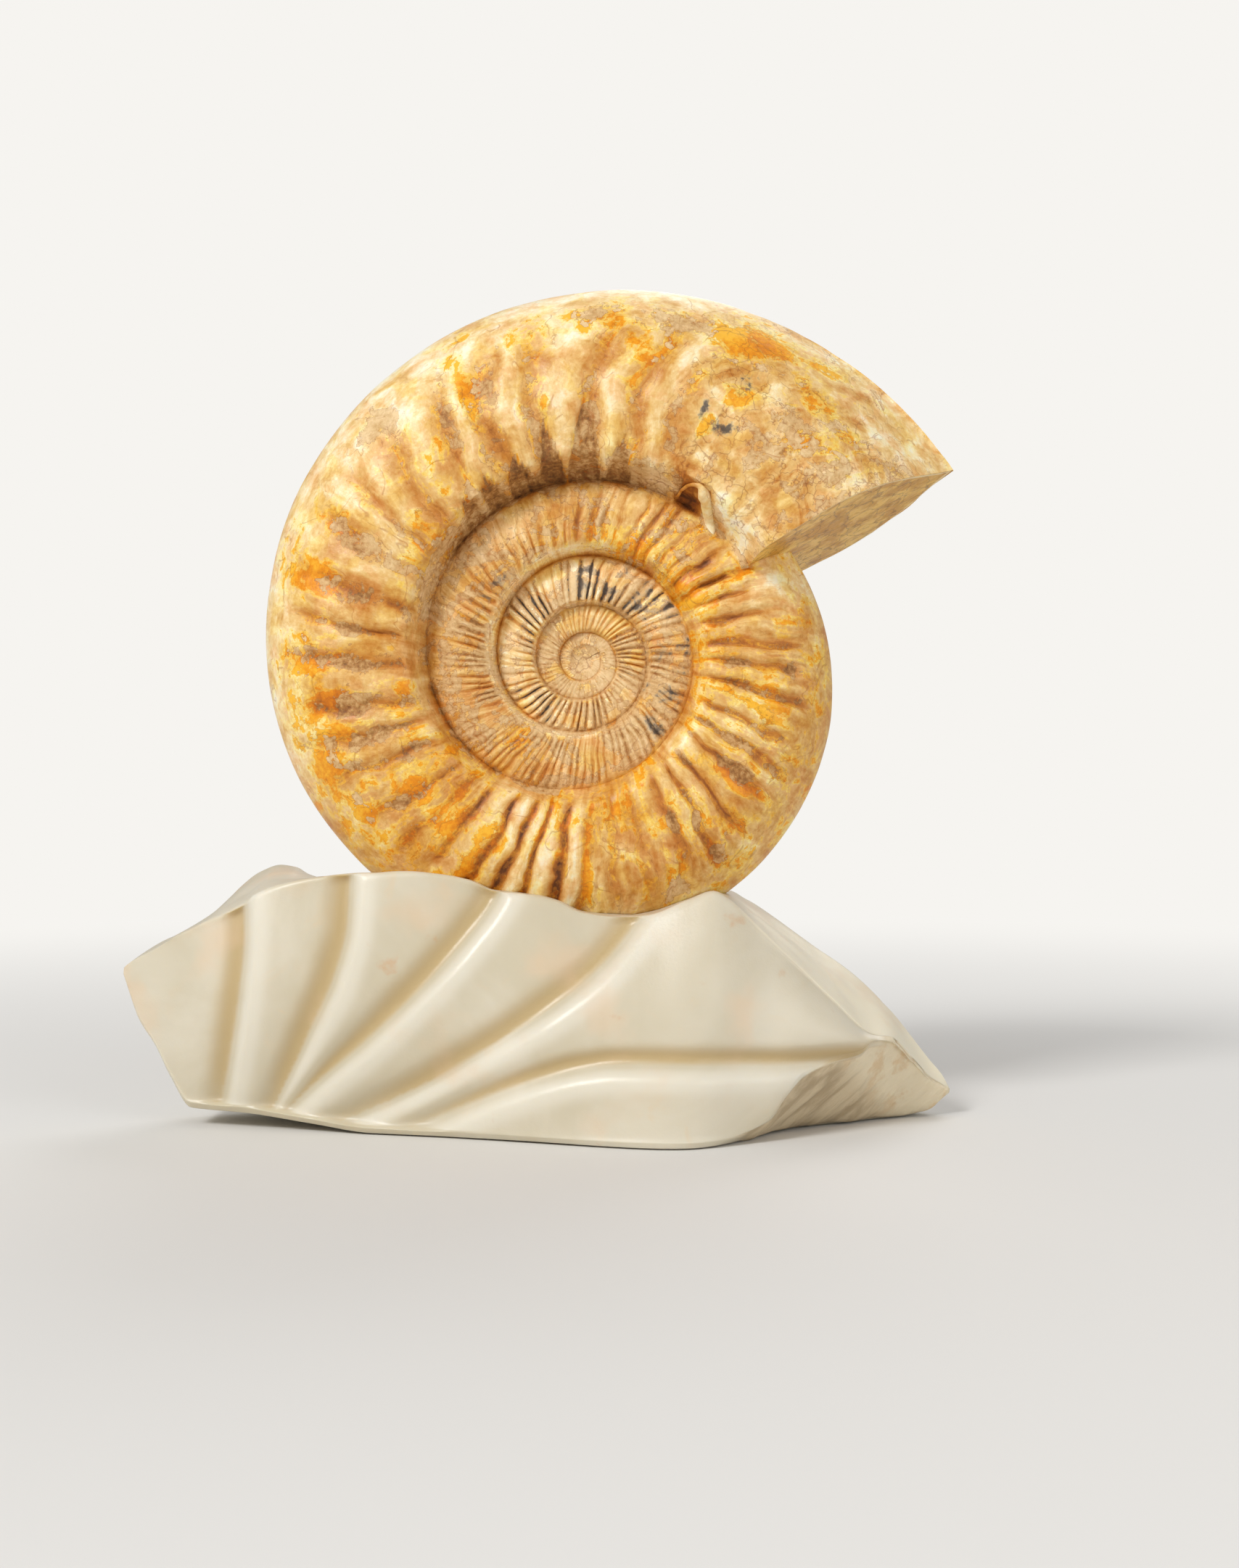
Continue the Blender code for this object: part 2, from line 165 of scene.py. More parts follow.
def seam_radius(angle):
    radii = [r * MM for turn in SEAM_RADII_MM for r in turn]
    table = [(MOUTH_ANGLE - SEAM_STEP * i, math.log(r)) for i, r in enumerate(radii)]
    return np.exp(through(table[::-1], angle)[..., 0])


def near_mouth(angle):
    """1 at the mouth, falling to 0 away from it, and 1 again on the whorl right beneath it."""
    off = (angle - MOUTH_ANGLE + 0.5 * TURN) % TURN - 0.5 * TURN
    return bell(off, MOUTH_SPAN)


def flank(u, angle):
    """Half thickness across a whorl as a share of its largest, leaving out the wall at the seam."""
    inner = 1.0 - SEAM_SIDE_FALL * np.clip((THICKEST_AT - u) / THICKEST_AT, 0, 1) ** 2
    out = np.clip((u - THICKEST_AT) / (1.0 - THICKEST_AT), 0, 1)
    last = near_mouth(angle) * (angle > MOUTH_ANGLE - 0.5 * TURN)
    sharpness = KEEL_SHARPNESS + (MOUTH_SHARPNESS - KEEL_SHARPNESS) * last
    return np.where(u < THICKEST_AT, inner, (1.0 - out**KEEL_POWER) ** sharpness)


def covered_at(angle):
    """u of the seam that the next whorl makes on this one."""
    seam = seam_radius(angle)
    return (seam_radius(angle + TURN) - seam) / (keel_radius(angle) - seam)


def seam_height(angle):
    """Half thickness at the seam, where this whorl meets the flank of the one inside it."""
    before = np.maximum(angle - TURN, MOUTH_ANGLE - WHORLS * TURN)
    inside = half_thickness(before) * flank(covered_at(before), before)
    return np.where(angle < MOUTH_ANGLE - (WHORLS - 1) * TURN, INNERMOST_SEAM * half_thickness(angle), inside)


def coil_height():
    """How high the coil's axis is, from the top of the CAD model's shell and the coil at every half degree."""
    angle = np.linspace(MOUTH_ANGLE - TURN, MOUTH_ANGLE, 721)
    return shell_high.z - (-keel_radius(angle) * np.sin(np.radians(angle))).max()


COIL_HEIGHT = coil_height()


def shell_points(angle, u, side, swell=0.0):
    """Points on one side of the smooth shell, side -1 for the front and 1 for the back."""
    seam, keel = seam_radius(angle), keel_radius(angle) + swell
    low = seam_height(angle)
    high = (half_thickness(angle) + swell) * flank(u, angle)
    radius = seam + (keel - seam) * u
    y = side * (low + (high - low) * ease(u / WALL_WIDTH)) * (u < 1.0)
    share = MOUTH_PIVOT + 0.5 * y / MOUTH_HALF_THICKNESS
    turned = np.radians(angle + MOUTH_TWIST * near_mouth(angle) * share)
    return np.stack([radius * np.cos(turned), y, COIL_HEIGHT - radius * np.sin(turned)], axis=-1)


def zip_chains(first, second):
    """Triangles between two chains of vertices that may differ in number, and may share their ends."""
    faces, i, j = [], 0, 0
    while i < len(first) - 1 or j < len(second) - 1:
        forward = (i + 1) / (len(first) - 1) <= (j + 1) / (len(second) - 1)
        if j == len(second) - 1 or (forward and i < len(first) - 1):
            face, i = (first[i], second[j], first[i + 1]), i + 1
        else:
            face, j = (first[i], second[j], second[j + 1]), j + 1
        if len(set(face)) == 3:
            faces.append(face)
    return faces


def along_chain(points, count):
    """count points spread evenly by number along a chain of points."""
    at = np.linspace(0, len(points) - 1, count)
    i = np.minimum(at.astype(int), len(points) - 2)
    t = (at - i)[:, None]
    return points[i] * (1 - t) + points[i + 1] * t


class Coil:
    """A closed mesh of the shell: a strip wound in a coil on each side, meeting at the keel."""

    def __init__(self, steps, shown_rows, keel_rows, mouth_rings, swell=0.0):
        self.steps, self.shown, self.rows = steps, shown_rows, shown_rows + keel_rows
        self.columns = steps * WHORLS
        self.last = steps * (WHORLS - 1)  # the column where the free whorl begins
        angle = MOUTH_ANGLE - WHORLS * TURN + np.arange(self.columns + 1) * TURN / steps
        free = np.arange(self.columns + 1) > self.last
        covered = np.where(free, HIDDEN_FROM, covered_at(angle))
        even = np.linspace(0, 1, shown_rows + 1)
        outer = HIDDEN_FROM + (1 - HIDDEN_FROM) * np.sin(0.5 * math.pi * np.linspace(0, 1, keel_rows + 1)[1:])
        shares = [covered[:, None] * even**SEAM_ROWS_POWER, np.tile(outer, (self.columns + 1, 1))]
        self.grid_u = np.hstack(shares)
        self.grid_angle = np.repeat(angle[:, None], self.rows + 1, axis=1)
        self.points, self.angle, self.u, self.side = [], [], [], []
        self.faces, self.mouth_faces, self.count = [], [], 0
        front = self.add_side(-1, None, swell)
        back = self.add_side(1, front, swell)
        self.add_mouth(front, back, mouth_rings)
        self.points = np.concatenate(self.points)
        self.angle, self.u, self.side = (np.concatenate(part) for part in (self.angle, self.u, self.side))

    def add_points(self, points, angle, u, side):
        """Adds vertices and returns their numbers."""
        numbers = np.arange(self.count, self.count + len(points))
        self.count += len(points)
        self.points.append(points)
        self.angle.append(np.broadcast_to(np.asarray(angle, float), len(points)))
        self.u.append(np.broadcast_to(np.asarray(u, float), len(points)))
        self.side.append(np.full(len(points), float(side)))
        return numbers

    def add_side(self, side, other, swell):
        """One side of the coil. Each whorl's outer row is the seam of the next one."""
        index = np.full(self.grid_u.shape, -1)
        own = np.ones(index.shape, bool)
        own[: self.last, self.shown + 1 :] = False
        own[: self.last + 1, self.shown] = False
        if other is not None:
            own[:, self.rows] = False
        angle, u = self.grid_angle[own], self.grid_u[own]
        index[own] = self.add_points(shell_points(angle, u, side, swell), angle, u, side)
        if other is not None:
            index[self.last :, self.rows] = other[self.last :, self.rows]
        index[: self.last + 1, self.shown] = index[self.steps : self.columns + 1, 0]
        corners = [index[:-1, :-1], index[1:, :-1], index[1:, 1:], index[:-1, 1:]]
        quads = np.stack(corners, axis=-1).reshape(-1, 4)
        quads = quads[(quads >= 0).all(axis=1)]
        start = MOUTH_ANGLE - WHORLS * TURN
        middle = np.array([[0.0, side * MIDDLE_HEIGHT * half_thickness(start), COIL_HEIGHT]])
        centre = self.add_points(middle, start, 0.0, side)[0]
        rim = [*index[: self.steps + 1, 0], *index[0, self.shown - 1 :: -1]]
        strip = [*quads.tolist(), *([centre, b, a] for a, b in zip(rim, rim[1:]))]
        self.faces += [face[::-1] for face in strip] if side == 1 else strip
        return index

    def add_mouth(self, front, back, rings):
        """The end face, in rings that shrink from its outline to where it meets the whorl beneath."""
        end, start = self.columns, self.last
        edge = [*front[end], *back[end, self.rows - 1 :: -1]]
        under = [*front[start, self.shown :], *back[start, self.rows - 1 : self.shown - 1 : -1]]
        points = np.concatenate(self.points)
        edge_points = points[edge]
        under_points = along_chain(points[under], len(edge))
        for ring in rings:
            inner = edge_points + (under_points - edge_points) * ring
            numbers = self.add_points(inner[1:-1], MOUTH_ANGLE, ring, 0)
            chain = [edge[0], *numbers, edge[-1]]
            self.mouth_faces += zip_chains(edge, chain)
            edge = chain
        self.mouth_faces += zip_chains(edge, under)

    def mesh(self, name):
        return new_mesh(name, self.points, self.faces + self.mouth_faces)


# ---- ribs, pits and colour zones of the shell

# Degrees from one rib to the next, at angles along the coil.
RIB_SPACING = (
    (-1469, 8.0), (-750, 6.8), (-420, 6.6), (-330, 5.2), (-245, 3.6), (-205, 3.4), (-150, 4.6), (-60, 6.2),
    (-29, 7.2), (0, 8.6), (150, 8.8), (205, 9.8), (250, 11.0), (331, 13.0),
)
RIB_STEP = 0.25  # the spacings are added up in steps of this many degrees
FIRST_GROOVE = -22.0
CROWDED_FROM, CROWDED_TO = 88.0, 122.0  # one rib more fits in between these two angles
CROWDED_RIB = 14  # the ribs past this one keep the numbers they would have without it
# Millimetres from groove to crest, along the coil.
RIB_HEIGHT_MM = (
    (-1469, 0.0), (-1109, 0.05), (-900, 0.15), (-790, 0.35), (-749, 0.6), (-650, 0.8), (-400, 0.8),
    (-240, 0.5), (-120, 0.8), (-60, 1.2), (-35, 1.5), (-14, 1.5), (58, 1.4), (67, 0.4), (88, 0.4), (93, 1.0),
    (115, 1.1), (122, 1.3), (128, 0.5), (148, 0.6), (158, 1.4), (180, 1.4), (200, 1.2), (225, 1.4),
    (282, 1.6), (296, 0.0),
)
# Degrees that a rib leans forward between the seam and the keel.
RIB_LEAN = ((-1469, 5.0), (150, 5.0), (200, 4.0), (225, 7.0), (250, 12.0), (285, 17.0), (331, 17.0))
# 1 for ribs like a wave, less for narrower grooves.
RIB_SOFTNESS = (
    (-1469, 0.6), (-60, 0.5), (-40, 0.42), (-10, 0.44), (10, 0.5), (130, 0.45), (205, 0.42), (235, 0.6),
    (331, 0.7),
)
ROUGH_FROM = 291.0  # the shell has gone from here to the mouth, and shows its rough filling
# How pale the flank is along the coil, from 0 for dark brown to 1 for cream.
FLANK_TONE = (
    (-1469, 0.78), (-1110, 0.74), (-1000, 0.72), (-749, 0.70), (-700, 0.72), (-560, 0.80), (-460, 0.84),
    (-430, 0.80), (-389, 0.76), (-350, 0.75), (-310, 0.71), (-250, 0.63), (-150, 0.61), (-90, 0.62),
    (-45, 0.58), (-29, 0.62), (-16, 0.62), (0, 0.61), (30, 0.60), (80, 0.58), (93, 0.62), (122, 0.58),
    (135, 0.57), (150, 0.56), (175, 0.56), (190, 0.59), (210, 0.56), (245, 0.55), (280, 0.60), (297, 0.60),
    (322, 0.62), (331, 0.62),
)
KEEL_TONE = (
    (-29, 0.76), (0, 0.68), (30, 0.64), (60, 0.73), (85, 0.80), (125, 0.76), (145, 0.74), (160, 0.76),
    (190, 0.79), (215, 0.83), (280, 0.80), (300, 0.78), (320, 0.76), (331, 0.78),
)
# How much darker a groove is than a crest.
GROOVE_DEPTH = (
    (-1469, 0.0), (-1109, 0.0), (-900, 0.04), (-790, 0.10), (-749, 0.18), (-430, 0.24), (-389, 0.16),
    (-200, 0.14), (-70, 0.18), (-50, 0.26), (-14, 0.24), (10, 0.19), (58, 0.20), (67, 0.06), (88, 0.06),
    (93, 0.26), (122, 0.25), (128, 0.12), (180, 0.10), (195, 0.05), (215, 0.0), (285, 0.0), (296, 0.0),
    (331, 0.0),
)
# How much paler a crest is than the flank round it.
CREST_TONE = (
    (-1469, 0.10), (-389, 0.14), (-45, 0.18), (0, 0.16), (58, 0.20), (67, 0.08), (88, 0.08), (92, 0.60),
    (106, 0.60), (122, 0.38), (130, 0.16), (170, 0.20), (205, 0.20), (235, 0.34), (255, 0.40), (285, 0.50),
    (296, 0.28), (331, 0.0),
)
# Stains and fillings that stand out, as (angle, u in hundredths, reach along the coil in degrees, reach across
# it in hundredths of u, strength).
GOLD = (
    (-232, 25, 8, 20, 1.1), (-67, 14, 24, 14, 0.95), (-35, 10, 16, 14, 0.9), (-24, 14, 8, 14, 0.8),
    (-12, 84, 6, 8, 1.1), (8, 12, 26, 13, 0.8), (39, 54, 2.5, 16, 1.5), (47, 66, 2.5, 8, 1.3),
    (48, 62, 9, 12, 0.7), (56, 72, 3, 8, 1.2), (62, 30, 14, 16, 0.6), (70, 72, 16, 14, 0.5),
    (78, 16, 10, 12, 0.9), (98, 20, 8, 14, 0.9), (118, 62, 4, 8, 1), (118, 42, 6, 20, 0.6),
    (134, 35, 12, 25, 0.8), (140, 40, 5, 12, 1.1), (143, 73, 4, 7, 1.3), (155, 78, 7, 14, 1.3),
    (162, 60, 3, 18, 1.2), (165, 22, 16, 12, 0.5), (169, 66, 3, 22, 1.2), (179, 72, 3, 18, 1.2),
    (188, 60, 4, 10, 0.6), (197, 70, 4, 16, 1.3), (216, 14, 12, 10, 0.6), (228, 40, 9, 22, 0.5),
    (246, 62, 1.6, 22, 0.9), (249.5, 92, 1.5, 5, 1.2), (260, 76, 3, 12, 0.7), (261, 37, 1.2, 5, 1),
    (273, 82, 5, 9, 1.1), (280, 62, 3, 20, 0.8), (286, 80, 7, 8, 0.8), (297, 80, 5, 9, 1.5),
    (298.5, 32, 1.6, 5, 1.1), (301, 84, 8, 8, 1.3), (302, 52, 3, 5, 0.8), (306, 87, 7, 6, 1.3),
    (313, 69, 4, 7, 1.1), (316, 50, 4, 6, 0.75), (322, 56, 5, 11, 0.85),
)
FILL = (
    (4, 70, 3, 6, 0.8), (5, 30, 6, 16, 0.7), (36, 55, 4, 14, 0.6), (52, 62, 3, 8, 0.7), (55, 74, 1.6, 5, 0.9),
    (68, 80, 3, 6, 0.9), (138, 50, 6, 12, 0.5), (148, 66, 2.5, 6, 0.9), (151, 30, 5, 12, 0.7),
    (157, 48, 4, 16, 1), (167, 45, 3, 15, 0.8), (176, 50, 3.5, 17, 1), (185, 40, 3, 20, 0.9),
    (195, 42, 3, 16, 0.6), (205, 46, 2, 16, 0.7), (229, 76, 4, 9, 0.9), (241, 52, 3, 14, 0.8),
    (252, 56, 3, 16, 0.7), (252, 36, 1.5, 4, 0.9), (266, 46, 3, 12, 0.6), (272, 82, 2.5, 5, 1),
    (286, 80, 6, 6, 0.9),
)
CREAM = (
    (-22, 76, 6, 15, 1), (42, 7, 12, 12, 1), (60, 14, 12, 10, 0.5), (94, 55, 2, 26, 0.9),
    (101, 55, 2, 26, 0.9), (107.5, 55, 2, 26, 0.85), (141, 84, 7, 10, 0.7), (152, 50, 5, 12, 0.75),
    (288, 42, 6, 16, 0.9), (303, 66, 5, 7, 0.6), (312, 79, 5, 6, 0.85), (322, 80, 5, 8, 1),
    (327, 55, 3, 10, 0.6),
)
# Brown recesses that reach up between the last ribs: (angle, how far up the flank, half width in degrees).
TEETH = ((232, 0.10, 4), (241, 0.13, 4), (250.5, 0.18, 4), (260.5, 0.26, 4), (270.5, 0.36, 5), (281, 0.18, 4))
INK = ((297, 40, 1.3, 6, 0.85), (301, 63, 2.2, 5, 0.55), (302.5, 36, 2.4, 3.5, 0.95))
INNER_INK = (
    (-447, 60, 8, 40, 0.65), (-428, 40, 7, 35, 0.62), (-400, 50, 9, 50, 0.66), (-366, 45, 8, 40, 0.8),
    (-352, 60, 6, 30, 0.7), (-335, 40, 7, 35, 0.75), (-317, 40, 6, 35, 0.75), (-180, 75, 6, 20, 0.6),
    (-140, 20, 13, 10, 0.7),
)
# The pale edge of the rough filling by the end face's inner corner, as (angle, u).
LIP = ((-1469, 0.12), (309, 0.12), (314, 0.08), (320.5, 0.05), (327, 0.015))
# The curl of shell beside it, as (angle, u, share of its full width, tone). It arches over a small hollow and
# runs out to a point on the whorl inside.
CURL = (
    (299.8, 0.005, 0.20, 0.36), (300.8, 0.040, 0.28, 0.36), (302.6, 0.067, 0.34, 0.40),
    (305.4, 0.081, 0.55, 0.62), (308.6, 0.058, 1.10, 0.82), (312.8, 0.012, 0.95, 0.88),
    (318.5, -0.050, 0.04, 0.84),
)
CURL_HALF_WIDTH = 1.9 * MM
CURL_HALF_HEIGHT = 1.7 * MM
CURL_RINGS, CURL_SIDES = 72, 14
BACK_SHIFT = 47.0  # the back's stains and pits are turned by this much, so that it isn't the front's mirror
SHARP_ANGLE = math.radians(50)  # an edge sharper than this isn't shaded smooth


def patches(spots, angle, u):
    """0 to 1 over a set of spots, each fading out to its edge."""
    total = np.zeros(len(angle))
    for at, across, reach, width, strength in spots:
        far = ((angle - at) / reach) ** 2 + ((u - across / 100) / (width / 100)) ** 2
        total = np.maximum(total, strength * np.exp(-0.7 * far))
    return total


def shell_look(coil):
    """How far each vertex of the shell stands out, and the layers that its materials read."""
    angle, u, side, points = coil.angle, coil.u, coil.side, coil.points
    on_shell, outer = side != 0, angle > MOUTH_ANGLE - TURN
    over_keel = 0.5 * ease((u - 0.75) / 0.25)
    back_share = np.where(side > 0, 1 - over_keel, over_keel)

    def zone(low, high, fade):
        return between(angle, low, high, fade)

    def at(table):
        return through(table, angle)[:, 0]

    def spots(table):
        """Spots on the front, and the same ones turned round on the back."""
        front, back = patches(table, angle, u), patches(table, angle - BACK_SHIFT, u)
        return front + (back - front) * back_share

    # The ribs: crest is 1 on the top of each and 0 at the bottom of its grooves.
    wander = noise(points, 16 * MM, 1)
    jitter = layered_noise(points, 7 * MM, 2, 3)
    places = np.arange(MOUTH_ANGLE - WHORLS * TURN, MOUTH_ANGLE + 20, RIB_STEP)
    counts = np.cumsum(RIB_STEP / through(RIB_SPACING, places)[:, 0])
    curled = 1 - 1.5 * zone(250, 331, 15) * (u < 0.4)  # the last ribs curl back towards the seam
    bent = np.where(outer, 1.1 * wander + jitter, 0.7 * wander + 1.3 * noise(points, 5 * MM, 17))
    leaned = angle - at(RIB_LEAN) * (u - 0.4) * curled + bent
    phase = np.interp(leaned, places, counts) - np.interp(FIRST_GROOVE, places, counts)
    phase = phase + 0.12 * np.sin(2.1 * phase) + 0.06 * np.sin(4.7 * phase)
    along = np.column_stack([phase * 2.2, u * 2.4, back_share * 6.0])
    phase = phase + np.clip((leaned - CROWDED_FROM) / (CROWDED_TO - CROWDED_FROM), 0, 1)
    number = np.floor(phase + 0.5)
    number = number - (number > CROWDED_RIB)
    crest = (0.5 - 0.5 * np.cos(2 * math.pi * phase)) ** at(RIB_SOFTNESS)
    fine = np.cos(2 * math.pi * (phase * 3 + 0.3 * wander))
    split = between(u, 0.56, 0.76, 0.1) * zone(-14, 100, 8)

    # Where the ribs fade: at the seam, on the polished keel and on the last, rough stretch.
    reach = 0.66 + 0.06 * np.sin(number * 3.7 + side) + 0.05 * noise(points, 22 * MM, 2)
    polished = ease((u - (reach - 0.16 * zone(-29, -12, 6))) / 0.22) * outer
    threaded = zone(-275, -80, 15)
    rooted = np.where(outer, ease((u - 0.03) / 0.12), ease((u - 0.01 - 0.06 * threaded) / 0.07))
    faint = 1 - 0.6 * zone(-195, -95, 20) * ease((u - 0.30) / 0.2)
    rough = ease((angle - ROUGH_FROM - 6 * wander) / 5) * outer * on_shell
    ribbed = rooted * faint * (1 - polished) * (1 - rough) * on_shell
    split = split * (1 - rough)
    uneven = 1.0 + 0.18 * np.sin(number * 2.4 + side) + 0.12 * np.sin(number * 5.1)
    broken = noise(points, 10 * MM, 31)
    height = at(RIB_HEIGHT_MM) * MM * uneven * np.where(outer, 1.0, np.clip(0.9 + 1.3 * broken, 0.0, 1.8))

    # The recess under the last ribs, the seam, the filling's lip, and the hollow beside the curl.
    tooth = np.max([tall * np.clip(1 - np.abs(angle - mid) / wide, 0, 1) for mid, tall, wide in TEETH], axis=0)
    niche = zone(222, 284, 10) * ease((0.055 + tooth + 0.04 * jitter - u) / 0.06)
    lip = bell(u - at(LIP), 0.026) * zone(311, 327, 3) * outer * on_shell
    hollow = zone(301.5, 308.5, 2) * ease((0.09 - u) / 0.04) * outer * (side < 0)
    pits = spots(INK)
    fill = spots(FILL) * np.where(outer & (u < 0.68), np.clip(1.8 * (1 - crest) + 0.12, 0, 1), 1)
    lumps = layered_noise(points, 13 * MM, 3, 12)
    stand = (
        height * (crest - 0.62) * ribbed
        + 0.3 * MM * fine * split
        - 1.3 * MM * niche
        - 0.5 * MM * (bell(u, 0.03) * np.where(outer, 1.0, 0.5))
        - 0.35 * MM * fill * (1 + jitter)
        + 0.4 * MM * layered_noise(points, 26 * MM, 2, 5) * (1 - 0.4 * polished) * outer
        + 0.2 * MM * jitter * (1 - 0.85 * polished) * np.where(outer, 1.0, 0.5)
        + rough * (0.8 * MM * lumps * (1 - 0.6 * ease((u - 0.6) / 0.3)) - 0.4 * MM)
        + 1.1 * MM * lip * (1 + 0.3 * jitter)
        - 1.8 * MM * pits * rough
        - 1.2 * MM * hollow
    )
    chipped = 1.1 * MM * noise(points, 12 * MM, 41) * ease((angle - 322) / 6) * (side > 0)
    stand = stand * ease((MOUTH_ANGLE - 1.2 - angle) / 3) * on_shell + chipped

    # How pale the stone is.
    gilt, cream = spots(GOLD), spots(CREAM)
    keel = ease((u - 0.62 + 0.07 * zone(200, 262, 12)) / 0.2) * outer
    tone = at(FLANK_TONE)
    tone = tone + (at(KEEL_TONE) - tone) * keel
    paler = np.where(crest > 0.55, 1.0, 1.0 - 0.7 * zone(215, 300, 20)) * (crest - 0.55)
    tone = tone + at(CREST_TONE) * paler * ribbed - 0.07 * split * (fine < -0.2)
    roots = zone(-20, 75, 12) * between(u, 0.02, 0.16, 0.06) * crest
    tone = np.maximum(tone + 0.12 * roots, 0.95 * cream)
    line = bell(u, 0.02)
    # Paler near the seam between 125 and 305 degrees: painted light against the shade that falls there.
    painted_seam_light = ease((0.16 - u) / 0.12) * zone(125, 305, 12) * (1 - niche)
    thread = bell(u - 0.055, 0.035) * threaded
    tone = tone - np.where(outer, 0.10, 0.22) * line * ease((angle + 1100) / 300)
    tone = tone - 0.25 * line * zone(128, 168, 5) + 0.10 * painted_seam_light + 0.36 * thread - 0.20 * niche**2
    # The hollow beneath the curl is darkened here: painted shade.
    tone = tone - 0.05 * fill + 0.3 * lip - 0.42 * hollow
    tone = tone + 0.12 * (zone(312, 331, 8) * ease((0.3 - u) / 0.2) * outer)

    # Earthy filling, gold stains, and dark pits and grooves.
    second = zone(MOUTH_ANGLE - 2 * TURN + 4, MOUTH_ANGLE - TURN - 14, 10)
    third = zone(MOUTH_ANGLE - 3 * TURN, MOUTH_ANGLE - 2 * TURN, 20)
    core = ease((MOUTH_ANGLE - 3.1 * TURN - angle) / 90)
    band = zone(196, 300, 12) * ease((0.13 - u + 0.04 * jitter) / 0.08)
    groove = (1 - crest) * ribbed * np.where(outer, 1.0, np.clip(0.9 + 0.9 * broken, 0.2, 1.2))
    late = 0.46 * zone(214, 290, 10) * (1 - 0.45 * ease((u - 0.28) / 0.15))
    earthy = (
        fill,
        0.9 * ease((niche - 0.5) / 0.3),
        0.62 * band,
        (0.36 + 0.40 * lumps) * rough * (1 - 0.6 * keel),
        second * (0.48 + 0.24 * zone(-420, -300, 20) - 0.22 * zone(-110, -30, 25)),
        third * (0.42 + 0.12 * groove),
        0.5 * core,
        groove * (0.54 * zone(140, 205, 8) + late + 0.45 * zone(-10, 60, 8)),
        0.62 * bell(u, 0.03) * outer * (angle > 100),
    )
    stained = np.clip(np.maximum(gilt, cream), 0, 1)
    golden = (
        gilt,
        0.95 * (groove * between(u, 0.5, 0.8, 0.1) * zone(85, 215, 10)),
        0.54 * groove * zone(222, 292, 10),
        0.62 * roots,
        0.38 * zone(-10, 76, 10),
        0.9 * groove * zone(84, 150, 8),
        0.5 * zone(126, 150, 6),
        0.46 * zone(-60, -29, 14),
        0.5 * groove * second,
        4.6 * niche * (1 - niche),
        0.60 * zone(128, 182, 8) * between(u, 0.64, 0.86, 0.08),
    )
    gold = np.max(golden, axis=0) * (1 - 0.7 * niche**3) * (1 - 0.6 * np.clip(cream, 0, 1))
    inked = patches(INNER_INK, angle, u) * (0.75 + 0.25 * groove)
    barred = third * zone(-580, -440, 30) * between(u, 0.0, 0.5, 0.3)
    inked = inked + groove**2 * (0.5 * barred + 0.2 * third)
    rock = rough * (1 - 0.5 * keel)
    return stand, {
        "tone": tone,
        "groove": groove,
        "sink": at(GROOVE_DEPTH),
        "grey": np.max(earthy, axis=0) * (1 - lip) * (1 - hollow) * (1 - 0.8 * rough * stained),
        "gold": gold * (1 - lip) * on_shell,
        "ink": np.maximum(pits, inked * ~outer),
        "rock": rock,
        "rough": np.max([rock, niche, band, core, 0.55 * second, 0.6 * groove], axis=0),
        "rim": np.where(on_shell, 0.0, bell(u, 0.035)),
        "along": along,
    }


# ---- meshes


def new_mesh(name, points, faces):
    mesh = bpy.data.meshes.new(name)
    mesh.from_pydata(points.tolist(), [], faces)
    mesh.update()
    return mesh


def tube_faces(rings, size):
    """The faces of a tube of rings, each of size points, with a face at either end."""
    k, i = np.meshgrid(np.arange(rings - 1), np.arange(size), indexing="ij")
    a, b = k * size + i, k * size + (i + 1) % size
    last = (rings - 1) * size
    faces = np.stack([a, a + size, b + size, b], axis=-1).reshape(-1, 4).tolist()
    return [*faces, list(range(size)), list(range(last + size - 1, last - 1, -1))]


def add_layers(mesh, layers):
    """Stores a number or three at each vertex under each name, for the materials to read."""
    for name, values in layers.items():
        kind, field = ("FLOAT", "value") if values.ndim == 1 else ("FLOAT_VECTOR", "vector")
        made = mesh.attributes.new(name, kind, "POINT")
        made.data.foreach_set(field, values.astype(np.float32).ravel())


def vertex_normals(mesh):
    normals = np.zeros(3 * len(mesh.vertices), np.float32)
    mesh.vertex_normals.foreach_get("vector", normals)
    return normals.reshape(-1, 3).astype(float)


def raise_surface(mesh, points, stand):
    """Moves each vertex from its point along its normal, by how far it stands out."""
    moved = points + vertex_normals(mesh) * stand[:, None]
    mesh.vertices.foreach_set("co", moved.astype(np.float32).ravel())
    mesh.update()


def shade(mesh):
    mesh.shade_smooth()
    mesh.set_sharp_from_angle(angle=SHARP_ANGLE)


def add_object(mesh, *materials):
    for material in materials:
        mesh.materials.append(material)
    made = bpy.data.objects.new(mesh.name, mesh)
    bpy.context.scene.collection.objects.link(made)
    return made


def join(piece, part):
    """Makes both one piece, which keeps the first one's name."""
    with bpy.context.temp_override(active_object=piece, selected_editable_objects=[piece, part]):
        bpy.ops.object.join()


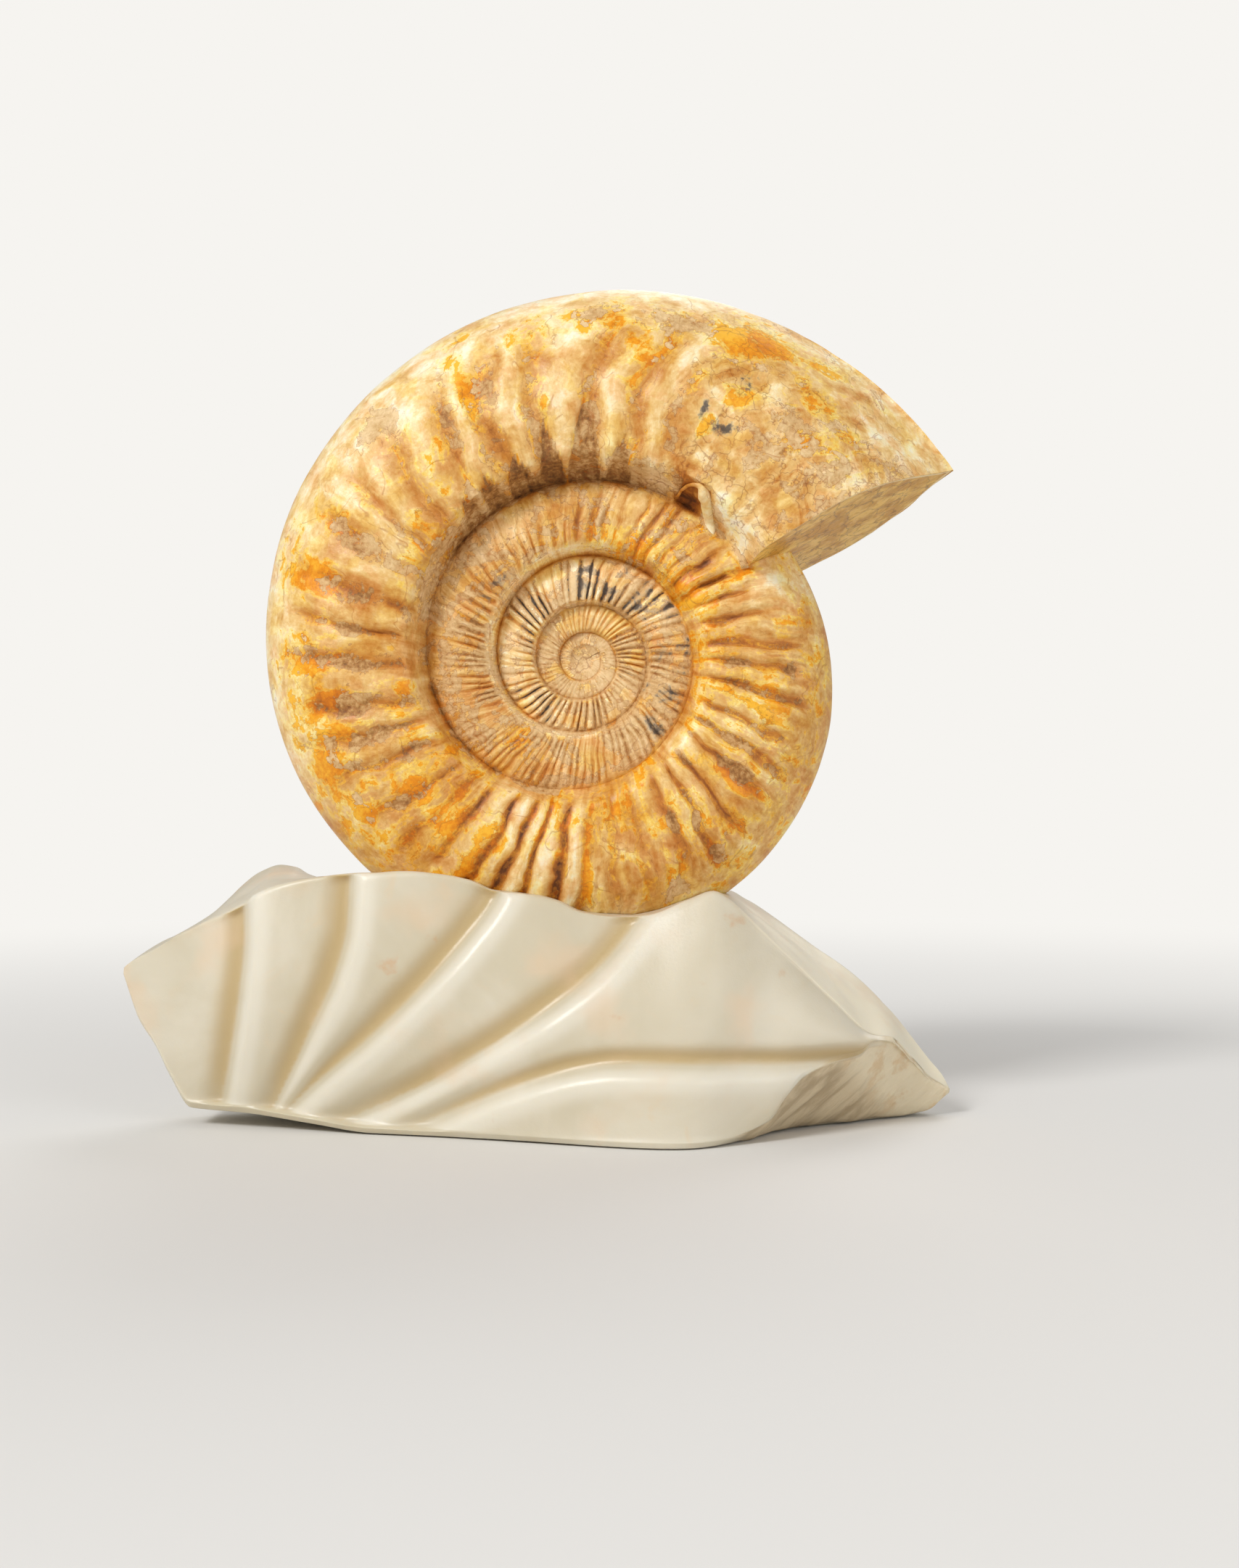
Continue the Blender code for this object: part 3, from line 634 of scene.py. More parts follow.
def make_curl(stone):
    """The curl of shell by the end face's inner corner: a closed ridge, half sunk in the flank."""
    at = np.linspace(0, len(CURL) - 1, CURL_RINGS)
    angle, u, size, tone = through([(i, *place) for i, place in enumerate(CURL)], at).T
    line = shell_points(angle, u, -1)
    ahead = np.gradient(line, axis=0)
    ahead /= np.linalg.norm(ahead, axis=1)[:, None]
    across = np.cross(ahead, (0.0, 1.0, 0.0))
    across /= np.linalg.norm(across, axis=1)[:, None]
    out = np.cross(across, ahead)
    turned = 2 * math.pi * np.arange(CURL_SIDES) / CURL_SIDES
    ring = across[:, None] * (CURL_HALF_WIDTH * np.cos(turned))[:, None]
    ring = ring + out[:, None] * (CURL_HALF_HEIGHT * np.sin(turned))[:, None]
    points = (line[:, None] + ring * size[:, None, None]).reshape(-1, 3)
    uneven = 0.5 * MM * noise(points, 3 * MM, 8)[:, None]
    points = points + uneven * (out + across).repeat(CURL_SIDES, axis=0)
    mesh = new_mesh("curl_of_shell", points, tube_faces(CURL_RINGS, CURL_SIDES))
    add_layers(mesh, {"tone": tone.repeat(CURL_SIDES)})  # the join fills in 0 for the other layers
    mesh.shade_smooth()
    return add_object(mesh, stone)


def make_shell(stone, end_stone):
    coil = Coil(STEPS_PER_TURN, SHOWN_ROWS, KEEL_ROWS, MOUTH_RINGS)
    mesh = coil.mesh("polished_ammonite")
    stand, layers = shell_look(coil)
    raise_surface(mesh, coil.points, stand)
    add_layers(mesh, layers)
    is_mouth = np.arange(len(mesh.polygons)) >= len(coil.faces)
    mesh.polygons.foreach_set("material_index", is_mouth.astype(np.int32))
    shade(mesh)
    shell = add_object(mesh, stone, end_stone)
    join(shell, make_curl(stone))
    return shell


# ---- the base

# Each rail is one of the base's long edges, as (x, y, z) in millimetres from the left tip to the right.
FOOT_FRONT = (
    (-164, 1, 51.8), (-162.6, 0, 48.2), (-158, -3, 37), (-151, -5, 27), (-145.5, -6, 16.4), (-138, -8, 6),
    (-117, -14, 5), (-94, -20, 2.4), (-72, -26, 0), (-50, -31, 0), (-25, -39, 0), (0, -48, 0), (20, -54, 0),
    (33, -56, 0), (43, -53, 0), (50, -44, 0), (66, -23, 0), (96, -4, 0), (113, 8, 0), (124, 12, 2),
    (132, 14, 8),
)
BREAK_EDGE = (
    (-164, 0.5, 52.6), (-162.6, -1, 49.6), (-158, -4.5, 39), (-151, -7, 29), (-145.5, -8.5, 19),
    (-138, -10.5, 9), (-117, -16.5, 8), (-94, -22.5, 5.2), (-72, -28.5, 3), (-50, -33.5, 2.8),
    (-25, -41.5, 2.8), (0, -50, 2.8), (20, -55.5, 2.8), (33, -57, 2.8), (43, -54.5, 2.8), (50, -48, 3.2),
    (62.5, -42.5, 7.5), (68.7, -40.5, 15.4), (75, -38, 22.4), (85, -33.5, 26.3), (95.8, -27, 28.2),
    (100, -22.5, 31), (108, -10, 29), (116, 0, 21.5), (124, 8, 13.5), (132, 13.5, 8.8),
)
RIM_FRONT = (
    (-164, 1, 54.6), (-162.6, 0.2, 55.8), (-150, -8.5, 62.5), (-134, -17, 71), (-117, -24, 78.4),
    (-113, -26, 82), (-100, -28, 86.8), (-88, -29, 88.8), (-75, -30, 89.8), (-60, -31, 90.6),
    (-48, -31.5, 89.6), (-38, -32, 87.6), (-30.5, -32, 84), (-16, -33, 82.6), (-8, -33, 80.6), (0, -33, 76.8),
    (9, -33, 75.4), (16, -33, 75.2), (24, -33, 76.2), (36, -34, 80.6), (44.5, -34, 83.7), (50, -33, 80.5),
    (61, -31, 69.7), (73, -28, 58.4), (86, -25, 45.7), (100, -21.3, 33.2), (108, -9, 31), (116, 1, 23),
    (124, 9, 15), (132, 14, 9.6),
)
RIDGE = (
    (-164, 4, 54.9), (-162.6, 4.4, 56.2), (-152, 8, 63.3), (-141.6, 12, 68.4), (-134.5, 18, 73.4),
    (-126, 24, 82.8), (-119.6, 28, 88), (-112.4, 29, 90.4), (-106.5, 29, 89.4), (-102, 28, 86.6),
    (-95, 26, 84.6), (-75, 24, 84), (-38, 24, 82), (-15, 24, 78), (0, 24, 74), (16, 24, 73), (36, 24, 77.5),
    (45, 24, 80.5), (52, 20, 81.4), (59, 17, 78.3), (67, 15, 73), (82, 14, 62.6), (97, 13.5, 52),
    (108, 13.5, 41.4), (116.5, 13.5, 31), (124.6, 14, 20.6), (129.3, 14.5, 15), (132, 14.5, 10.2),
)
RIM_BACK = (
    (-164, 6, 54.2), (-150, 14, 61.5), (-134, 25, 69), (-124, 32, 78), (-112, 36, 84.5), (-102, 37, 82.5),
    (-80, 38, 80), (-38, 40, 78), (0, 41, 71), (36, 39, 73), (50, 36, 75), (60, 34, 70), (82, 32, 55),
    (100, 29, 41.5), (116, 24, 25), (126, 19, 15), (132, 15.5, 9.6),
)
FOOT_BACK = (
    (-164, 5, 53.3), (-158, 9, 38), (-151, 12, 28), (-145, 14, 17), (-138, 17, 7), (-117, 26, 4.6),
    (-94, 34, 2), (-72, 38, 0), (-50, 42, 0), (0, 46, 0), (60, 44, 0), (90, 37, 0), (110, 29, 0.6),
    (124, 21, 3), (132, 15.5, 8.2),
)
BULGE = 6.0 * MM
STATIONS = 250
SIDE_POINTS = {"break": 16, "face": 88, "bevel": 28, "top": 8, "back": 44, "sole": 16}
EDGE_ROUNDING = 4  # passes of smoothing round each cross-section
LONG_ROUNDING = 70  # passes of smoothing from each cross-section to the next, of its depth only

# The flutes' creases on the front face, as (x, z) in millimetres.
FLUTES = (
    ((-119, 90), (-118, 66), (-120, 46), (-124.5, 22), (-130, -4)),
    ((-80.5, 100), (-81.5, 72), (-85.5, 56), (-95, 34), (-107.5, 8), (-113, -4)),
    ((-24, 96), (-32.5, 79.5), (-49.8, 58), (-69.7, 38), (-89.8, 20), (-108, 1), (-112, -4)),
    ((26, 88), (18, 75), (4.2, 58.6), (-15.2, 43.3), (-34.8, 30.2), (-54.6, 18), (-77, 6.6), (-100, -4)),
    ((112, 27.5), (72.4, 27), (47.5, 28.2), (23.4, 28.8), (11.4, 28.6), (-0.5, 26.8), (-12.6, 23.4),
     (-24.8, 18.8), (-37.2, 13.2), (-49.7, 7), (-74, -6)),
)
FLUTE_DEPTH = 5.0 * MM
STEEP_SIDES_MM = (8.5, 8.5, 8.5, 8.5, 5.6, 8.5)  # of the petal on the left of each crease, then of the last
EASY_SIDE = 6.5 * MM
EASY_SHARE, STEEP_SHARE = 0.55, 0.4  # the largest shares of a petal that its two walls take
PETAL_SLOPE = 0.42  # how much a petal falls from its near side to its far one
SLOPE_REACH = 60 * MM
FULL_PETAL = 20 * MM  # a petal narrower than this stands out less
BREAK_FROM, TIP_FROM = 48 * MM, 100 * MM  # x where the broken corner and the base's pointed end begin
STROKE_RUN, STROKE_RISE = 0.78, 0.62  # direction of the chisel's strokes on the broken corner
FLUTE_STEP = 1.5 * MM  # spacing of the points along a crease
SOCKET_GAP = 0.35 * MM
CUTTER_GRID = (120, 4, 10)  # steps in a turn, and rows, of the plainer shell that cuts the socket


def crease_line(points):
    """A flute's crease as closely spaced points on a smooth curve, from its top down."""
    p = np.array(points, float) * MM
    along = np.concatenate([[0], np.cumsum(np.linalg.norm(np.diff(p, axis=0), axis=1))])
    return through(np.column_stack([along, p]), np.linspace(0, along[-1], int(along[-1] / FLUTE_STEP) + 2))


def right_of(places, line):
    """Distance from each (x, z) place to a crease, positive on its right and lower side."""
    gaps = places[:, None, :] - line[None, :, :]
    nearest = np.argmin((gaps**2).sum(2), axis=1)
    i = np.clip(nearest, 1, len(line) - 2)
    along = line[i + 1] - line[i - 1]
    along /= np.linalg.norm(along, axis=1)[:, None]
    off = places - line[i]
    return along[:, 0] * off[:, 1] - along[:, 1] * off[:, 0]


def petals(places):
    """(height, painted_crease_shade) at each (x, z) place on the carved face: how far out it stands, and how
    deep in the painted warm shade of a crease's steep side it lies, below 0 for the painted highlight on the
    ridge beside a crease."""
    off = [right_of(places, crease_line(points)) for points in FLUTES]
    far = np.full(len(places), 1.0)
    height, painted_crease_shade = np.zeros(len(places)), np.zeros(len(places))
    for left, right, steep_mm in zip([far, *off], [*(-o for o in off), far], STEEP_SIDES_MM):
        steep = steep_mm * MM
        inside = (left >= 0) & (right >= 0)
        gap = np.maximum(left + right, 1e-6)
        rise = ease(left / np.minimum(EASY_SIDE, EASY_SHARE * gap))
        fall = ease(right / np.minimum(steep, STEEP_SHARE * gap))
        slope = 1.0 - PETAL_SLOPE * np.clip(left / np.minimum(gap, SLOPE_REACH), 0, 1)
        full = FLUTE_DEPTH * np.minimum(1.0, gap / FULL_PETAL)
        height = np.where(inside, full * rise * fall * slope, height)
        # Painted shade on each petal's steep side down into the crease on its right, and in a narrow band just
        # past the crease on its left; a painted highlight on its ridge further right.
        dark = bell(right, np.minimum(0.8 * steep, 0.25 * gap)) + bell(left, 2.2 * MM)
        painted_highlight = bell(left - 0.3 * np.minimum(gap, 22 * MM), np.minimum(5 * MM, 0.3 * gap))
        # The painted shade is weaker towards the bottom of the face.
        low = 0.35 + 0.65 * ease(places[:, 1] / (24 * MM))
        painted_shade_and_highlight = np.clip(dark, 0, 1) * low - 0.8 * painted_highlight * (left < 50 * MM)
        painted_crease_shade = np.where(inside, painted_shade_and_highlight, painted_crease_shade)
    return height, painted_crease_shade


def base_sections(xs, ends):
    """Closed loops of (y, z) points across the base at each x, and each point's side."""
    rails = (FOOT_FRONT, BREAK_EDGE, RIM_FRONT, RIDGE, RIM_BACK, FOOT_BACK)
    rails = [through(np.array(rail) * MM, xs) for rail in rails]
    starts = dict(zip(SIDE_POINTS, zip(rails, [*rails[1:], rails[0]])))
    loops, kinds = [], []
    for side, (start, end) in starts.items():
        t = np.arange(SIDE_POINTS[side]) / SIDE_POINTS[side]
        line = start[:, None, :] + (end - start)[:, None, :] * t[None, :, None]
        outward = {"face": -1.0, "back": 1.0}.get(side, 0.0)
        line[:, :, 0] += outward * BULGE * ends[:, None] * np.sin(math.pi * t)
        loops.append(line)
        kinds += [side] * SIDE_POINTS[side]
    return np.concatenate(loops, axis=1), np.array(kinds)


def make_base(stone):
    left, right = FOOT_FRONT[0][0] * MM, FOOT_FRONT[-1][0] * MM
    even = np.linspace(-1, 1, STATIONS)
    xs = 0.5 * (left + right) + 0.5 * (right - left) * (0.75 * even + 0.25 * np.sin(0.5 * math.pi * even))
    ends = ease((1 - np.abs(even)) * 2.6)  # 1 along the base, easing to 0 at its two ends
    loops, kinds = base_sections(xs, ends)
    size = loops.shape[1]
    for _ in range(LONG_ROUNDING):
        depth = loops[:, :, 0]
        depth[1:-1] = 0.25 * depth[:-2] + 0.5 * depth[1:-1] + 0.25 * depth[2:]
    where = np.repeat(xs[:, None], size, axis=1)
    carved = (kinds == "face") | (np.roll(kinds, 1) == "face")
    places = np.stack([where[:, carved], loops[:, carved, 1]], axis=-1).reshape(-1, 2)
    height, painted_crease_shade = (part.reshape(STATIONS, -1) for part in petals(places))
    tip = ease((xs - TIP_FROM) / (8 * MM))
    sunk = (FLUTE_DEPTH - height) * (ends * (1 - tip))[:, None]
    sunk[:, -1] = 0.0
    loops[:, carved, 0] += sunk
    for _ in range(EDGE_ROUNDING):
        loops = 0.25 * np.roll(loops, 1, axis=1) + 0.5 * loops + 0.25 * np.roll(loops, -1, axis=1)

    points = np.concatenate([where[..., None], loops], axis=-1).reshape(-1, 3)
    mesh = new_mesh("carved_base", points, tube_faces(STATIONS, size))

    broken = np.zeros((STATIONS, size))
    broken[:, kinds == "break"] = ease((xs - BREAK_FROM) / (10 * MM))[:, None]
    front = (kinds == "face") | (kinds == "bevel")
    broken[:, front] = np.maximum(broken[:, front], tip[:, None] * (kinds[front] == "face"))
    broken = broken.ravel()
    # The bevel's right part is made paler, which is painted light; the broken corner is paler towards its
    # upper right.
    pale = ease((points[:, 0] - BREAK_FROM) / (12 * MM)) * np.tile(kinds == "bevel", STATIONS)
    chipped = ease((points[:, 0] + 0.8 * points[:, 2] - 102 * MM) / (16 * MM)) * broken
    pale = np.maximum(pale, chipped)
    # The creases' painted shade, and the painted highlights beside them, for the material to read.
    shaded = np.zeros((STATIONS, size))
    shaded[:, carved] = painted_crease_shade
    shaded = shaded.ravel() * np.repeat(ends, size) * (1 - broken)
    free = np.repeat((kinds != "sole")[None, :], STATIONS, axis=0).ravel()
    x, y, z = points.T
    down = x * STROKE_RUN + z * STROKE_RISE
    over = z * STROKE_RUN - x * STROKE_RISE
    strokes = layered_noise(np.column_stack([down / 4.5, y / 2, over]), 6 * MM, 2, 21)
    chisel = 0.9 * strokes + 0.5 * layered_noise(points, 9 * MM, 3, 23) * pale
    stand = broken * 0.9 * MM * chisel + (1 - broken) * 0.22 * MM * noise(points, 30 * MM, 25)
    dressed = np.tile(np.isin(kinds, ("back", "bevel", "top")), STATIONS) * (1 - broken)
    tooled = layered_noise(np.column_stack([over / 2, y, down / 2]), 12 * MM, 2, 27)
    stand += dressed * 0.45 * MM * np.abs(tooled)
    raise_surface(mesh, points, stand * free)
    grain = np.column_stack([down / 5, y / 3, over])
    add_layers(mesh, {"broken": broken, "shade": shaded, "pale": pale, "strokes": grain})
    shade(mesh)
    return add_object(mesh, stone)


def cut_socket(base):
    """Sinks the shell's own shape, a little swollen, into the base, and applies the cut."""
    cutter = add_object(Coil(*CUTTER_GRID, (), swell=SOCKET_GAP).mesh("socket_cutter"))
    cut = base.modifiers.new("fossil_socket", "BOOLEAN")
    cut.operation = "DIFFERENCE"
    cut.solver = "EXACT"
    cut.object = cutter
    whole = bpy.data.meshes.new_from_object(base.evaluated_get(bpy.context.evaluated_depsgraph_get()))
    base.modifiers.clear()
    base.data = whole
    bpy.data.objects.remove(cutter)


# ---- materials


def srgb(red, green, blue):
    """A colour as a screen shows it, 0 to 255, as the linear colour that a shader takes."""
    parts = [c / 255 for c in (red, green, blue)]
    return (*(c / 12.92 if c <= 0.04045 else ((c + 0.055) / 1.055) ** 2.4 for c in parts), 1.0)


class Nodes:
    """A node tree, and short ways to add the nodes that feed it. Sizes are in metres."""

    def __init__(self, owner):
        owner.use_nodes = True
        self.tree = owner.node_tree
        self.output = next(n for n in self.tree.nodes if n.type.startswith("OUTPUT"))

    def feed(self, socket, value):
        if isinstance(value, bpy.types.NodeSocket):
            self.tree.links.new(value, socket)
        else:
            socket.default_value = value

    def feed_all(self, node, inputs):
        for name, value in inputs.items():
            self.feed(node.inputs[name], value)

    def node(self, kind, inputs=None, **settings):
        """Adds a node, and returns its outputs."""
        made = self.tree.nodes.new("ShaderNode" + kind)
        for name, value in settings.items():
            setattr(made, name, value)
        self.feed_all(made, inputs or {})
        return made.outputs

    def end_in(self, factor, under, over):
        """Ends the tree in one shader laid on another."""
        self.feed(self.output.inputs["Surface"], self.node("MixShader", {0: factor, 1: under, 2: over})[0])

    def math(self, operation, a, b):
        return self.node("Math", {0: a, 1: b}, operation=operation)[0]

    plus = functools.partialmethod(math, "ADD")
    minus = functools.partialmethod(math, "SUBTRACT")
    times = functools.partialmethod(math, "MULTIPLY")
    larger = functools.partialmethod(math, "MAXIMUM")

    def spread(self, value, low, high, to_low=0.0, to_high=1.0):
        """Eases value from to_low to to_high as it goes from low to high."""
        ends = {"From Min": low, "From Max": high, "To Min": to_low, "To Max": to_high}
        return self.node("MapRange", {"Value": value} | ends, interpolation_type="SMOOTHSTEP")[0]


class Stone(Nodes):
    """A Principled material."""

    def __init__(self, name):
        self.material = bpy.data.materials.new(name)
        super().__init__(self.material)
        self.surface = next(n for n in self.tree.nodes if n.type == "BSDF_PRINCIPLED")
        self.place = self.node("TexCoord")["Object"]

    def layer(self, name, output="Fac"):
        return self.node("Attribute", attribute_name=name)[output]

    def noise(self, size, octaves=4.0, fineness=0.6, bend=0.0, place=None):
        inputs = {"Vector": place or self.place, "Scale": 1.0 / size, "Detail": octaves}
        return self.node("TexNoise", inputs | {"Roughness": fineness, "Distortion": bend})["Fac"]

    def cracks(self, size, width):
        """1 on a net of fine wavy cracks, whose meshes are about size wide."""
        wave = self.node("TexNoise", {"Vector": self.place, "Scale": 1.5 / size})["Color"]
        bent = {0: wave, 1: (size, size, size), 2: self.place}
        bent = self.node("VectorMath", bent, operation="MULTIPLY_ADD")[0]
        net = self.node("TexVoronoi", {"Vector": bent, "Scale": 1.0 / size}, feature="DISTANCE_TO_EDGE")
        return self.spread(net["Distance"], 0.0, width, 1.0, 0.0)

    def total(self, *parts):
        """The sum of noises, each taken about its middle and times its own share."""
        parts = [self.times(self.minus(value, 0.5), share) for value, share in parts]
        return functools.reduce(self.plus, parts)

    def scale(self, value, colours):
        """The colour at a value from 0 to 1, on a scale of (place, colour)."""
        node = self.tree.nodes.new("ShaderNodeValToRGB")
        ramp = node.color_ramp
        while len(ramp.elements) < len(colours):
            ramp.elements.new(0.5)
        for element, (place, colour) in zip(ramp.elements, colours):
            element.position = place
            element.color = srgb(*colour)
        self.feed(node.inputs["Fac"], value)
        return node.outputs["Color"]

    def ridge(self, value, at, width):
        """1 where value is close to at, falling to 0 on both sides."""
        return self.spread(self.math("ABSOLUTE", self.minus(value, at), 0.0), 0.0, width, 1.0, 0.0)

    def ragged(self, name, *noises):
        """A layer whose edges are broken up by noises, and which stays clean where it is 0."""
        layer = self.layer(name)
        return self.plus(layer, self.times(self.total(*noises), self.spread(layer, 0.0, 0.25)))

    def lay(self, mask, colour, way="MIX"):
        """Lays a colour over the stone's own where mask is 1: (red, green, blue) or what a node gives."""
        over = srgb(*colour) if isinstance(colour, tuple) else colour
        inputs = {"Factor": mask, 6: self.colour, 7: over}
        self.colour = self.node("Mix", inputs, data_type="RGBA", blend_type=way)[2]

    def bump(self, height, distance, **normal):
        return self.node("Bump", {"Distance": distance, "Height": height} | normal)["Normal"]

    def finish(self, roughness, normal, **fixed):
        fixed = {name.replace("_", " "): value for name, value in fixed.items()}
        inputs = {"Base Color": self.colour, "Roughness": roughness, "Normal": normal}
        self.feed_all(self.surface, inputs | fixed)
        return self.material


# Colours from the darkest to the palest, each at its place on the scale.
WARM = (
    (0.0, (92, 48, 14)), (0.18, (150, 84, 24)), (0.36, (196, 126, 46)), (0.52, (214, 159, 84)),
    (0.66, (230, 187, 116)), (0.80, (244, 212, 152)), (0.92, (252, 234, 190)), (1.0, (254, 244, 214)),
)
EARTH = (
    (0.0, (78, 50, 24)), (0.25, (134, 89, 44)), (0.42, (173, 123, 66)), (0.56, (201, 157, 101)),
    (0.75, (218, 180, 126)), (1.0, (236, 204, 154)),
)
GILT = (
    (0.0, (140, 82, 24)), (0.3, (202, 130, 30)), (0.55, (232, 171, 50)), (0.8, (244, 206, 96)),
    (1.0, (252, 230, 156)),
)
RUSTY = ((0.0, (136, 66, 2)), (0.35, (204, 112, 2)), (0.65, (232, 143, 4)), (1.0, (248, 184, 36)))
INKY = ((0.0, (30, 28, 28)), (0.5, (74, 68, 68)), (0.75, (128, 120, 112)), (1.0, (190, 180, 162)))


def fossil_stone():
    """Polished calcite: honey and cream, with brown grooves, gold stains and patches of earthy filling."""
    s = Stone("fossil_calcite")
    clouds = s.noise(0.018, 3, 0.55, 0.5)
    blots = s.noise(0.0085, 5, 0.62, 0.5)
    flecks = s.noise(0.0040, 4, 0.62, 0.4)
    specks = s.noise(0.0016, 4, 0.65)
    streaks = s.noise(0.8, 5, 0.65, 0.3, place=s.layer("along", "Vector"))
    groove = s.plus(s.layer("groove"), s.total((blots, 1.5), (streaks, 1.2), (specks, 0.4)))
    cut = s.spread(groove, 0.36, 0.60)
    tone = s.plus(s.layer("tone"), s.total((clouds, 0.55), (blots, 0.80), (streaks, 0.80), (specks, 0.30)))
    tone = s.minus(tone, s.times(cut, s.layer("sink")))
    rock = s.layer("rock")
    pale_islands = s.times(s.spread(s.noise(0.030, 4, 0.6, 0.8), 0.52, 0.58, 0, 0.16), rock)
    dark_islands = s.times(s.spread(s.noise(0.022, 5, 0.62, 0.8), 0.54, 0.60, 0, 0.17), rock)
    tone = s.minus(s.plus(tone, pale_islands), dark_islands)

    s.colour = s.scale(tone, WARM)
    hue = s.noise(0.010, 3, 0.55, 0.4)
    s.lay(s.spread(hue, 0.52, 0.62, 0, 0.8), (255, 250, 212), "MULTIPLY")
    s.lay(s.spread(hue, 0.38, 0.48, 0.6, 0), (255, 238, 234), "MULTIPLY")
    gold = s.ragged("gold", (blots, 3.0), (streaks, 3.0), (flecks, 1.2))
    gilded = s.plus(tone, s.total((clouds, 0.9), (specks, 0.6)))
    s.lay(s.spread(gold, 0.34, 0.58, 0, 0.85), s.scale(gilded, GILT))
    s.lay(s.spread(gold, 0.70, 0.86, 0, 0.95), s.scale(gilded, RUSTY))
    filled = s.ragged("grey", (blots, 2.8), (flecks, 1.4), (specks, 0.4))
    dusty = s.plus(tone, s.total((specks, 0.6), (flecks, 0.6)))
    s.lay(s.spread(filled, 0.43, 0.52, 0, 0.95), s.scale(dusty, EARTH))
    lined = s.spread(s.noise(0.011, 3, 0.6), 0.46, 0.60, 0, 0.8)
    edges = s.larger(s.ridge(groove, 0.42, 0.07), s.ridge(gold, 0.78, 0.05))
    outline = s.larger(s.ridge(filled, 0.46, 0.05), s.times(edges, lined))
    s.lay(s.times(outline, 0.6), (152, 78, 24))
    vein = s.times(s.ridge(s.noise(0.026, 3, 0.45, 0.6), 0.5, 0.008), s.spread(blots, 0.46, 0.54))
    s.lay(s.times(vein, 0.5), (176, 104, 36))
    cracked = s.times(s.cracks(0.0065, 0.05), s.spread(s.layer("rough"), 0.2, 0.8, 0.12, 0.5))
    cracked = s.times(cracked, s.spread(s.noise(0.012, 2, 0.5), 0.42, 0.56))
    s.lay(cracked, (140, 70, 24))
    ink = s.ragged("ink", (blots, 2.2), (specks, 0.8), (flecks, 1.0))
    inked = s.minus(tone, s.spread(ink, 0.40, 1.0, 0.0, 0.4))
    s.lay(s.spread(ink, 0.36, 0.80, 0, 0.9), s.scale(inked, INKY))

    rough = s.layer("rough")
    worn = s.larger(rough, s.spread(filled, 0.4, 0.6))
    normal = s.bump(s.times(s.minus(specks, 0.5), worn), 0.0005)
    normal = s.bump(s.noise(0.0042, 4, 0.6), 0.0003, Normal=normal)
    gloss = s.plus(s.spread(worn, 0, 1, 0.33, 0.58), s.spread(specks, 0.3, 0.7, -0.04, 0.08))
    return s.finish(
        gloss, normal, Specular_IOR_Level=0.34,
        Subsurface_Weight=0.10, Subsurface_Radius=(1.0, 0.6, 0.3), Subsurface_Scale=0.003,
    )


def end_face_stone():
    """The cut end of the shell: pale wall round a tan filling."""
    s = Stone("cut_end_face")
    rim = s.layer("rim")
    clouds = s.noise(0.012, 5, 0.6, 0.5)
    specks = s.noise(0.0018, 4, 0.6)
    s.colour = srgb(206, 150, 58)
    s.lay(s.spread(clouds, 0.40, 0.60), (238, 194, 100))
    s.lay(s.spread(s.noise(0.0055, 4, 0.62), 0.52, 0.66, 0, 0.5), (170, 116, 44))
    s.lay(s.spread(specks, 0.56, 0.74, 0, 0.35), (150, 102, 44))
    s.lay(s.times(s.cracks(0.009, 0.05), 0.5), (120, 74, 30))
    wall = s.spread(s.plus(rim, s.total((clouds, 1.3))), 0.35, 0.7, 0.0, 1.0)
    s.lay(wall, (240, 214, 164))
    normal = s.bump(s.noise(0.003, 5, 0.65), 0.0005)
    return s.finish(
        s.spread(specks, 0.3, 0.7, 0.34, 0.5), normal, Specular_IOR_Level=0.3,
        Subsurface_Weight=0.1, Subsurface_Radius=(1.0, 0.6, 0.3), Subsurface_Scale=0.003,
    )


